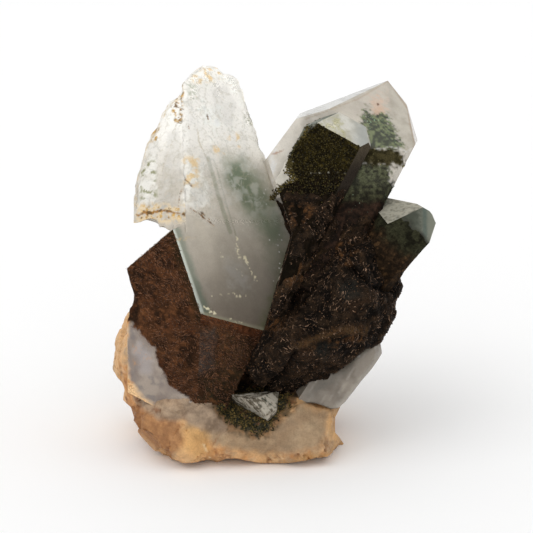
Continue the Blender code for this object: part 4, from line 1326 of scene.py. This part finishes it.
# painted shade: darker where the surface lies low, in its hollows
dark = mix(dark, lin(9, 6, 4), smooth(-lift, -0.3, 0.3) * 0.85)
warm = smooth(f1 + 0.5 * f3, 0.1, 0.6)
dark = mix(dark, lin(50, 35, 23), warm * 0.45)
patch = zones(mass_x, mass_y, 2 * f2, [(300, 340), (330, 331), (358, 328), (362, 338), (334, 345), (306, 350)],
              [(284, 272), (300, 264), (304, 276), (288, 284)], [(333, 246), (352, 244), (356, 262), (340, 264)],
              [(290, 205), (312, 208), (308, 226), (290, 222)], [(268, 320), (282, 318), (284, 330), (270, 332)], soft=6.0)
dark = mix(dark, lin(100, 66, 36), patch * smooth(f3 + f2, -0.1, 0.6) * 0.5)
dark = mix(dark, mix(lin(112, 84, 54), lin(52, 38, 24), smooth(f3 + f2, -0.3, 0.3)), np.maximum(ridge, 0.4 * spine) * (0.3 + 0.4 * smooth(f3 + 0.5 * f2, -0.3, 0.4)))
# painted shade: near-black in the crevices
dark = mix(dark, lin(7, 5, 3), crevice_and_shade * 0.9)
teal = zones(mass_x, mass_y, 2 * f2, [(338, 284), (356, 280), (362, 296), (344, 302)], [(318, 342), (330, 344), (326, 356), (316, 352)], soft=5.0)
dark = mix(dark, lin(30, 34, 32), teal * 0.5)
mass_p2 = pull_inside(mass_p + mass_n * lift[:, None], MASS_OUTLINE, 1.6, 48)
GRANULAR = coat_material("granular_chlorite", 0.7, 0.06, 0.8, 4.5, 0.3, 2.0)
ready(write_mesh("coated_crystal", mass_p2, mass_t, point={"tint": dark}, smooth_angle=60, material=GRANULAR), "crystal_cluster")


# --- the grey crystal low on the right
def paint_low(label, n, p):
    x, y = outline_xy(p)
    f1, f2 = fbm(p, 1.8, 53), fbm(p, 0.6, 55)
    colour = mix(lin(156, 145, 130), lin(118, 108, 95), smooth(f1, -0.3, 0.5))
    grain_line = smooth(fbm(p - np.outer(p @ long_axis(CRYSTALS["low_right"]), long_axis(CRYSTALS["low_right"])) * 0.8, 0.5, 58), 0.1, 0.5)
    colour = mix(colour, lin(190, 180, 166), grain_line * 0.5)
    right_side = smooth(5 - along([(383, 348), (375, 365), (362, 380), (340, 406)], x, y) + 2 * f2, 0, 4)
    colour = mix(colour, lin(200, 192, 180), right_side * 0.6)
    cover = 0.62 + 0.15 * f1
    low = smooth(8.5 - p[:, 2] + 2 * f2, 0, 2)
    colour = mix(colour, lin(186, 160, 132), low * 0.6)
    # painted glint: one small white highlight spot
    painted_glint_spot = smooth(2.0 + f2 - np.hypot(x - 358, y - 355), 0, 1)
    colour = mix(colour, lin(250, 250, 248), painted_glint_spot)
    shade = smooth(8 - along([(308, 395), (330, 380), (352, 360), (365, 350)], x, y) + 3 * f2, 0, 9)
    colour = mix(colour, lin(88, 84, 76), shade * 0.7)
    return colour, 1 - np.clip(cover + 0.3 * low + 0.3 * shade, 0, 0.94), 0.16 + 0.06 * f1, 0.05 * f1


low_skin = Skin(coarse_solid("low_right"), STEP, crystal_planes(CRYSTALS["low_right"]), far_side)
low_ob = skin_object("low_crystal", low_skin, paint_low, CRYSTAL_CLEAR, 25.0, COAT)
LOW_OUTLINE = [(392, 300), (381, 345), (382, 353), (375, 365), (362, 380), (345, 402), (338, 408), (331, 409), (322, 405),
               (310, 402), (300, 404), (285, 404), (285, 300)]
low_ob.data.vertices.foreach_set("co", (pull_inside(low_skin.moved, LOW_OUTLINE, 0.4, 57, 30.0) * MM).ravel())
low_ob.data.update()
ready(low_ob, "crystal_cluster")


# --- the crystals at the back
def paint_back(label, n, p):
    f1, f2, f3 = fbm(p, 2.4, 63), fbm(p, 0.7, 65), noise(p, 0.28, 67)
    colour = mix(lin(222, 214, 198), lin(188, 182, 164), smooth(f1, -0.2, 0.5))
    coat = smooth(24 - p[:, 2] + 5 * f1 + 3 * f2, -2, 4)
    if label.startswith("tip"):
        coat = coat * 0.6
    green = smooth(f1, 0.05, 0.4) * (1 - coat)
    colour = mix(colour, lin(112, 128, 104), green * 0.6)
    colour = mix(colour, mix(BROWN, DARK_BROWN, smooth(f2, -0.3, 0.3)), coat)
    cover = np.clip(0.58 + 0.3 * green + coat, 0, 1)
    return colour, 1 - cover, 0.14 + 0.4 * coat, coat * (0.1 * f2 + 0.06 * f3)


back_skins = {}
for key in ("back_left", "back_right", "back_low"):
    solid = coarse_solid(key)
    combine(solid, "DIFFERENCE", [before(["broad", "broad_top"])])
    back_skins[key] = Skin(solid, STEP * 1.15, crystal_planes(CRYSTALS[key]), None)
    ready(skin_object(key + "_crystal", back_skins[key], paint_back, CRYSTAL_CLEAR, 25.0, COAT), "crystal_cluster")


# --- the small crystal in the pocket
def paint_pocket(label, n, p):
    x, y = outline_xy(p)
    f1, f2 = fbm(p, 1.2, 73), fbm(p, 0.35, 75)
    colour = mix(lin(204, 196, 180), lin(112, 104, 90), smooth(f1 + 0.8 * f2, -0.2, 0.3))
    scratch = lines(x, y, f2, ([(262, 398), (270, 404), (276, 408)], 0.9, 1.2), ([(266, 396), (274, 400)], 0.6, 1.0),
                    ([(258, 404), (268, 412)], 0.6, 1.2), ([(246, 404), (254, 410)], 0.3, 1.0))
    colour = mix(colour, lin(50, 58, 48), scratch * 0.9)
    return colour, np.clip(0.12 * (1 - scratch), 0, 1), 0.16 + 0.2 * scratch, 0.03 * f2


pocket_skin = Skin(hull_object(corners_of(crystal_planes(POCKET_CRYSTAL)), "pocket"), STEP * 0.5, crystal_planes(POCKET_CRYSTAL))
ready(skin_object("pocket_quartz", pocket_skin, paint_pocket, CRYSTAL_CLEAR, 25.0, COAT), "pocket_crystal")


# --- moss sealed in the clear crystals
def ray_points(x, y, skin_planes, depths):
    """Points under the front of a crystal, at outline places x, y and given depths."""
    s = (outline_point(x, y) - EYE)
    s /= np.linalg.norm(s, axis=1, keepdims=True)
    enter = np.full(len(x), -1e9)
    leave = np.full(len(x), 1e9)
    for n, d, label in skin_planes:
        along_n = s @ n
        t = (d - EYE @ n) / np.where(np.abs(along_n) < 1e-9, 1e-9, along_n)
        enter = np.where(along_n < 0, np.maximum(enter, t), enter)
        leave = np.where(along_n > 0, np.minimum(leave, t), leave)
    ok = leave - enter > 0.8
    t = enter + np.minimum(depths, np.maximum(leave - enter - 0.4, 0))
    return EYE + s * t[:, None], ok


def first_surface(points, names):
    """Points moved along the line of view onto the nearest of the named surfaces, without those that miss."""
    trees = []
    for name in names:
        mesh = bpy.data.objects[name].data
        trees.append(BVHTree.FromPolygons([v.co / MM for v in mesh.vertices], [tuple(f.vertices) for f in mesh.polygons]))
    placed = []
    for q in points:
        along_view = Vector(q - EYE).normalized()
        hits = [tree.ray_cast(Vector(EYE), along_view) for tree in trees]
        hits = [(h[3], h[0]) for h in hits if h[0] is not None]
        if hits:
            placed.append(min(hits, key=lambda h: h[0])[1] - along_view * 0.04)
    return np.array(placed)


def outline_point(x, y):
    """A point of the row frame that falls at x, y of the outline plate."""
    k = EYE_DISTANCE / LENS_PX
    return EYE_TARGET + SHIFT + np.outer((x - 266.5) * k, RIGHT) + np.outer((266.5 - y) * k, UP)


def scatter(poly, count, rng):
    poly = np.asarray(poly, float)
    low, high = poly.min(0), poly.max(0)
    q = rng.uniform(low, high, (count * 3, 2))
    q = q[within(poly, q[:, 0], q[:, 1]) > 0][:count]
    return q[:, 0], q[:, 1]


def moss_patch(name, poly, crystal, count, depth, size, dark, light, seed, fringe=3.0):
    rng = np.random.default_rng(seed)
    x, y = scatter(poly, count, rng)
    x = x + rng.normal(0, fringe, len(x)) * (rng.random(len(x)) < 0.35)
    y = y + rng.normal(0, fringe, len(y)) * (rng.random(len(y)) < 0.35)
    d = rng.uniform(depth[0], depth[1], len(x))
    p, ok = ray_points(x, y, crystal_planes(CRYSTALS[crystal]), d)
    clump = fbm(p, 1.6, seed) + 0.5 * rng.normal(0, 0.5, len(x)) * 0.5
    ok &= clump > -0.35
    p, t = p[ok], smooth(clump[ok] + rng.normal(0, 0.25, ok.sum()), -0.3, 0.7)
    colour = mix(dark, light, t)
    sizes = size * rng.uniform(0.5, 1.3, len(p))
    return ready(grains(name, p, sizes, colour, GRAIN, seed), "crystal_cluster")


MUCH = 1.0
moss_patch("moss_upper", M1, "right", int(5200 * MUCH), (0.12, 2.2), 0.19, lin(60, 84, 60), lin(150, 176, 146), 201)
moss_patch("moss_band", M2, "right", int(3000 * MUCH), (0.12, 1.0), 0.19, lin(66, 62, 34), lin(150, 142, 96), 202, 1.5)
moss_patch("moss_lower", M3, "right", int(5200 * MUCH), (0.12, 2.0), 0.19, lin(56, 76, 60), lin(140, 160, 136), 203)


# --- grains and fibres on the coats
def fibre_field(p, n, axis, swirl, seed):
    """Directions along a surface, turning about a main direction."""
    d = np.stack([fbm(p, 2.5, seed + k, 2) for k in range(3)], 1) * swirl + axis
    d = d - n * np.sum(d * n, 1, keepdims=True)
    return d / np.maximum(np.linalg.norm(d, axis=1, keepdims=True), 1e-9)


def fibre_patch(name, p, n, rng, axis, swirl, length, width, colours, seed, bend=0.5, parts=4, up=0.02):
    d = fibre_field(p, n, np.asarray(axis, float), swirl, seed)
    count = len(p)
    lengths = length * rng.uniform(0.45, 1.5, count)
    widths = width * rng.uniform(0.7, 1.3, count)
    start = p + n * up - d * lengths[:, None] * 0.5
    return ready(fibres(name, start, d, n, lengths, widths, colours, GRAIN, seed, bend, parts), "crystal_cluster")


def on_mesh(p, n, t, count, rng, accept):
    a, b, c = p[t[:, 0]], p[t[:, 1]], p[t[:, 2]]
    area = 0.5 * np.linalg.norm(np.cross(b - a, c - a), axis=1)
    pick = rng.choice(len(t), count, p=area / area.sum())
    u, v = rng.random(count), rng.random(count)
    flip = u + v > 1
    u[flip], v[flip] = 1 - u[flip], 1 - v[flip]
    q = a[pick] + (b - a)[pick] * u[:, None] + (c - a)[pick] * v[:, None]
    m = n[t[pick, 0]]
    keep = rng.random(count) < accept(q, m)
    return q[keep], m[keep]


rng = np.random.default_rng(301)
q, m = on_mesh(mass_p2, normals_of(mass_p2, mass_t), mass_t, int(17000 * MUCH), rng,
               lambda q, m: np.where(m @ NEAR > -0.1, 0.8, 0.45) * smooth(fbm(q, 1.6, 302), -0.25, 0.2))
t = rng.random(len(q)) ** 2.2 * (0.45 + 0.75 * smooth(fbm(q, 2.2, 306), -0.2, 0.3))
fx, fy = outline_xy(q)
hot = zones(fx, fy, 2 * fbm(q, 1.0, 303), [(296, 345), (330, 330), (362, 326), (366, 338), (334, 348), (304, 354)],
            [(280, 276), (300, 262), (306, 276), (288, 288)], [(330, 246), (354, 242), (360, 262), (340, 266)],
            [(286, 200), (314, 206), (310, 228), (288, 224)], soft=6.0)
t = np.clip(t + 0.25 * hot, 0, 1)
fibre_colours = mix(lin(20, 14, 9), lin(178, 144, 118), t)
fibre_patch("coat_fibres", q, m, rng, (0.25, 0.0, 0.35), 1.6, 0.46, 0.036, fibre_colours, 304, 0.6, 3)
q, m = on_mesh(mass_p2, normals_of(mass_p2, mass_t), mass_t, int(12000 * MUCH), rng, lambda q, m: 0.9 + 0 * q[:, 0])
t = rng.random(len(q)) ** 3
ready(grains("coat_grains", q + m * 0.03, 0.13 * rng.uniform(0.5, 1.6, len(q)), mix(lin(14, 10, 7), lin(104, 76, 52), t), GRAIN, 305),
      "crystal_cluster")


def coat_zone(label, p):
    x, y = outline_xy(p)
    bare = within(BARE, x, y)
    return smooth(-bare, 0, 4) * smooth(fbm(p, 1.8, 311), -0.5, 0.1)


q, m = sprinkle(broad_skin, int(3900 * MUCH), rng, coat_zone, ["side0", "foot0", "foot60"])
t = rng.random(len(q)) ** 2.2
fibre_patch("coat_worms", q, m, rng, (0.75, 0.0, -0.45), 1.3, 0.46, 0.034, mix(lin(60, 40, 28), lin(146, 102, 74), t), 312, 0.8, 4, 0.0)
q, m = sprinkle(broad_skin, int(4200 * MUCH), rng, coat_zone, ["side0", "foot0", "foot60"])
t = rng.random(len(q)) ** 2.5
ready(grains("broad_grains", q + m * 0.02, 0.10 * rng.uniform(0.5, 1.5, len(q)), mix(lin(48, 34, 26), lin(126, 90, 68), t), GRAIN, 313),
      "crystal_cluster")

# --- olive grains on the dark crystal, loose along its left side
q, m = sprinkle(front_skin, int(7000 * MUCH), rng, lambda label, p: smooth(outline_xy(p)[1], 205, 185) * 0.9 * (outline_xy(p)[0] > np.interp(outline_xy(p)[1], [122, 128, 135, 147, 158, 170, 180, 185, 200], [300, 305, 303, 290, 288, 289, 294, 282, 270])), ["side0", "side300", "side240"])
t = rng.random(len(q)) ** 1.8
fx, fy = rng.uniform(270, 312, 6000), rng.uniform(126, 200, 6000)
edge_x = np.interp(fy, [122, 128, 135, 147, 158, 170, 180, 185, 200], [300, 305, 303, 290, 288, 289, 294, 282, 270])
loose = (edge_x - fx < 7 * rng.random(6000) ** 2.2) & (edge_x - fx > -4)
lp, ok = ray_points(fx[loose], fy[loose], crystal_planes(CRYSTALS["front"]), rng.uniform(-0.05, 0.12, loose.sum()))
lp = first_surface(lp[ok], ["broad_crystal", "right_crystal", "front_crystal", "leaning_crystal", "coated_crystal"])
ready(grains("loose_moss", lp, 0.17 * rng.uniform(0.5, 1.4, len(lp)), mix(lin(40, 36, 16), lin(112, 98, 50), rng.random(len(lp)) ** 1.5),
             GRAIN, 322), "crystal_cluster")
ready(grains("olive_grains", q + m * rng.uniform(-0.02, 0.12, (len(q), 1)), 0.15 * rng.uniform(0.5, 1.4, len(q)),
             mix(lin(18, 15, 6), lin(80, 70, 32), t), GRAIN, 321), "crystal_cluster")


# --- the rock
def rock_colour(p, n, x, y):
    f1, f2, f3 = fbm(p, 4.5, 83), fbm(p, 1.4, 85), fbm(p, 0.45, 87)
    colour = mix(lin(218, 176, 128), lin(192, 138, 86), smooth(f1 + 0.4 * f2, -0.05, 0.45))
    colour = mix(colour, lin(228, 198, 160), smooth(f2, 0.1, 0.4) * 0.5)
    colour = mix(colour, lin(158, 138, 116), smooth(fbm(p, 3.2, 89), 0.12, 0.4) * 0.6)
    front = smooth(-p[:, 1], 2, 6)
    middle = smooth(within([(180, 398), (232, 404), (262, 436), (300, 404), (332, 410), (324, 440), (318, 450), (266, 456),
                            (222, 446), (188, 440)], x, y) + 4 * f2, -4, 6) * front
    smooth_grey = mix(lin(140, 118, 94), lin(160, 140, 114), smooth(f1 + 0.3 * f2, -0.3, 0.4))
    colour = mix(colour, smooth_grey, middle * 0.9)
    glow = smooth(within([(182, 428), (205, 424), (212, 452), (196, 458), (180, 446)], x, y) + 5 * f2, -5, 6) * front
    colour = mix(colour, lin(218, 170, 108), glow * 0.75)
    # painted shade: darker orange-brown on the lower left, where the rock's form shades its underside
    shaded_left_low = smooth(within([(128, 404), (180, 420), (186, 440), (170, 462), (120, 440)], x, y) + 4 * f2, -4, 5) * front
    colour = mix(colour, mix(lin(144, 98, 60), lin(170, 122, 78), smooth(f3 + f2, -0.3, 0.3)), shaded_left_low * 0.9)
    veil = smooth(within([(134, 392), (235, 392), (240, 424), (222, 434), (206, 432), (186, 422), (160, 420), (146, 410)], x, y)
                  + 4 * f2, -3, 4) * front
    colour = mix(colour, mix(lin(132, 114, 98), lin(164, 144, 124), smooth(f2 + 0.5 * f3, -0.3, 0.3)), veil * 0.85)
    edge = smooth(7 - np.abs(within(ROCK_OUTLINE, x, y)) + 4 * f2, 0, 7) * smooth(x, 262, 300) * front
    colour = mix(colour, lin(188, 148, 98), edge * 0.7)
    seam = lines(x, y, 2 * f2, ([(222, 430), (212, 446), (206, 458)], 0.4, 0.9), ([(196, 432), (204, 444), (210, 452)], 0.1, 0.8),
                 ([(240, 452), (262, 450), (282, 452)], 0.1, 0.9), ([(222, 458), (236, 452), (246, 455)], 0.3, 1.0))
    colour = mix(colour, lin(140, 90, 50), seam * front * 0.6)
    glint = lines(x, y, 2 * f2, ([(203, 444), (206, 451), (210, 457)], 0.7, 0.6), ([(262, 457), (284, 457)], 0.3, 0.6))
    colour = mix(colour, lin(246, 226, 190), glint * front * 0.7)
    crack = lines(x, y, 2 * f2, ([(114, 372), (121, 380), (126, 386), (124, 398)], 1.0, 1.2), ([(120, 366), (126, 376), (132, 388)], 0.4, 1.2),
                  ([(128, 392), (133, 404)], 0.6, 1.0), ([(140, 424), (153, 432), (160, 442)], 0.3, 0.9))
    thin = smooth(0.05 - np.abs(fbm(p, 3.6, 91)), 0.0, 0.04) * smooth(fbm(p, 4.0, 93), 0.05, 0.4) * (1 - middle)
    colour = mix(colour, lin(112, 62, 38), np.maximum(crack, 0.55 * thin) * 0.85)
    dark = smooth(within([(216, 406), (236, 386), (285, 382), (288, 402), (281, 414), (270, 428), (258, 434), (244, 432), (226, 420)], x, y)
                  + 5 * f2 + 3 * f3, -1.5, 2.5) * front
    brown = smooth(within([(210, 406), (232, 380), (292, 380), (300, 400), (285, 418), (270, 436), (250, 440), (226, 430)], x, y)
                   + 6 * f2 + 4 * f3, -2, 4) * front
    colour = mix(colour, mix(lin(118, 84, 48), lin(70, 56, 32), smooth(f3, -0.2, 0.3)), brown * 0.85)
    colour = mix(colour, mix(lin(58, 54, 30), lin(22, 27, 18), smooth(f3 + 0.5 * f2, -0.3, 0.3)), dark)
    shade = smooth(400 - y + 5 * f2, 0, 10) * smooth(x, 196, 206) * smooth(310 - x, 0, 12) * front
    colour = mix(colour, lin(34, 27, 20), shade * 0.95)
    colour = colour * np.array([0.88, 0.85, 0.80])
    return colour, middle, dark


def build_rock():
    lumps = [hull_object(corners_of(lump_planes(c, h, s, ROCK_FACES)), "lump") for c, h, s in ROCK_LUMPS]
    p, n, t = voxel_union(lumps, 0.37, 1)
    x, y = outline_xy(p)
    colour, middle, dark = rock_colour(p, n, x, y)
    f1, f2, f3, f4 = fbm(p, 4.5, 99), fbm(p, 2.0, 101), fbm(p, 0.7, 103), noise(p, 0.35, 105)
    a, b, ident = cells(p + 1.8 * np.stack([f2, f3, f1], 1), 5.8, 107)
    seam = smooth(0.07 - (b - a) + 0.04 * f3, 0, 0.07) * (0.15 + 0.85 * smooth(fbm(p, 5.0, 111), -0.15, 0.15))
    seam_tint = seam * (1 - middle) * smooth(fbm(p, 3.0, 110), -0.15, 0.2)
    colour = mix(colour, lin(122, 76, 44), seam_tint * 0.7)
    lift = 0.05 + 0.55 * smooth(190 - x, 0, 50) + 0.30 * f1 + 0.26 * f2 + 0.12 * f3 + 0.05 * f4 + 0.70 * (ident - 0.5) - 0.30 * seam
    lift = lift * (1 - 0.7 * middle) + dark * (0.45 * fbm(p, 0.6, 109) + 0.2 * f4)
    p = pull_inside(p + n * lift[:, None], ROCK_OUTLINE, 1.0, 108)
    p = np.clip(p, ROCK_LOW, ROCK_HIGH)
    rock_ob = write_mesh("rock", p, t, point={"tint": colour}, smooth_angle=60,
                         material=coat_material("vein_rock", 0.6, 0.3, 0.4, 3.5, 0.88, 1.12))
    return rock_ob, p, t, dark


ROCK_LOW, ROCK_HIGH = np.array((-26.55, -19.4, 0.0)), np.array((26.5, 19.4, 24.0))
rock_ob, rock_p, rock_t, rock_dark = build_rock()
ready(rock_ob, "matrix_rock")

# --- olive crust round the pocket crystal
crust_rng = np.random.default_rng(401)


def crust_zone(q, m):
    x, y = outline_xy(q)
    f = fbm(q, 0.8, 402)
    d = within([(216, 408), (236, 388), (288, 384), (292, 402), (282, 416), (270, 430), (258, 436), (244, 434), (226, 422)], x, y)
    return smooth(d + 6 * f, -2, 4) * (q[:, 1] < -6)


q, m = on_mesh(rock_p, normals_of(rock_p, rock_t), rock_t, int(90000 * MUCH), crust_rng, crust_zone)
q, m = q[:5200], m[:5200]
t = crust_rng.random(len(q)) ** 2.0
ready(grains("pocket_crust", q + m * crust_rng.uniform(0.0, 0.16, (len(q), 1)), 0.16 * crust_rng.uniform(0.5, 1.5, len(q)),
             mix(lin(26, 30, 18), lin(124, 104, 58), t), GRAIN, 403), "matrix_rock")



# ------------------------------------------------------------ stage and light
def build_stage():
    size = 3.0
    mesh = bpy.data.meshes.new("floor")
    mesh.from_pydata([(-size, -size, 0), (size, -size, 0), (size, size, 0), (-size, size, 0)], [], [(0, 1, 2, 3)])
    floor = bpy.data.objects.new("floor", mesh)
    bpy.context.scene.collection.objects.link(floor)
    mat, tree, shader = new_material("pale_floor")
    shader.inputs["Base Color"].default_value = (0.98, 0.98, 0.98, 1)
    shader.inputs["Roughness"].default_value = 0.8
    shader.inputs["Specular IOR Level"].default_value = 0.2
    mesh.materials.append(mat)
    world = bpy.data.worlds.new("studio")
    bpy.context.scene.world = world
    world.use_nodes = True
    world.node_tree.nodes["Background"].inputs["Color"].default_value = (1.0, 1.0, 1.0, 1)
    world.node_tree.nodes["Background"].inputs["Strength"].default_value = 0.80
    data = bpy.data.lights.new("key", "SUN")
    data.energy = 0.42
    data.angle = math.radians(42)
    key = bpy.data.objects.new("key", data)
    bpy.context.scene.collection.objects.link(key)
    key.rotation_euler = Vector((0.45, 0.30, -0.85)).to_track_quat("-Z", "Y").to_euler()
    data = bpy.data.lights.new("fill", "SUN")
    data.energy = 0.68
    data.angle = math.radians(70)
    fill = bpy.data.objects.new("fill", data)
    bpy.context.scene.collection.objects.link(fill)
    fill.rotation_euler = Vector((0.15, 0.80, -0.58)).to_track_quat("-Z", "Y").to_euler()


build_stage()
camera_data = bpy.data.cameras.new("camera")
camera_data.lens = 100.0
camera_data.sensor_width = 36.0
camera_data.clip_start = 0.01
camera_data.dof.use_dof = False
camera = bpy.data.objects.new("camera", camera_data)
bpy.context.scene.collection.objects.link(camera)
camera.location = Vector(EYE * MM)
camera.rotation_euler = (math.radians(90 - VIEW_RISE), 0.0, 0.0)
bpy.context.scene.camera = camera
bpy.context.scene.view_settings.view_transform = "Standard"

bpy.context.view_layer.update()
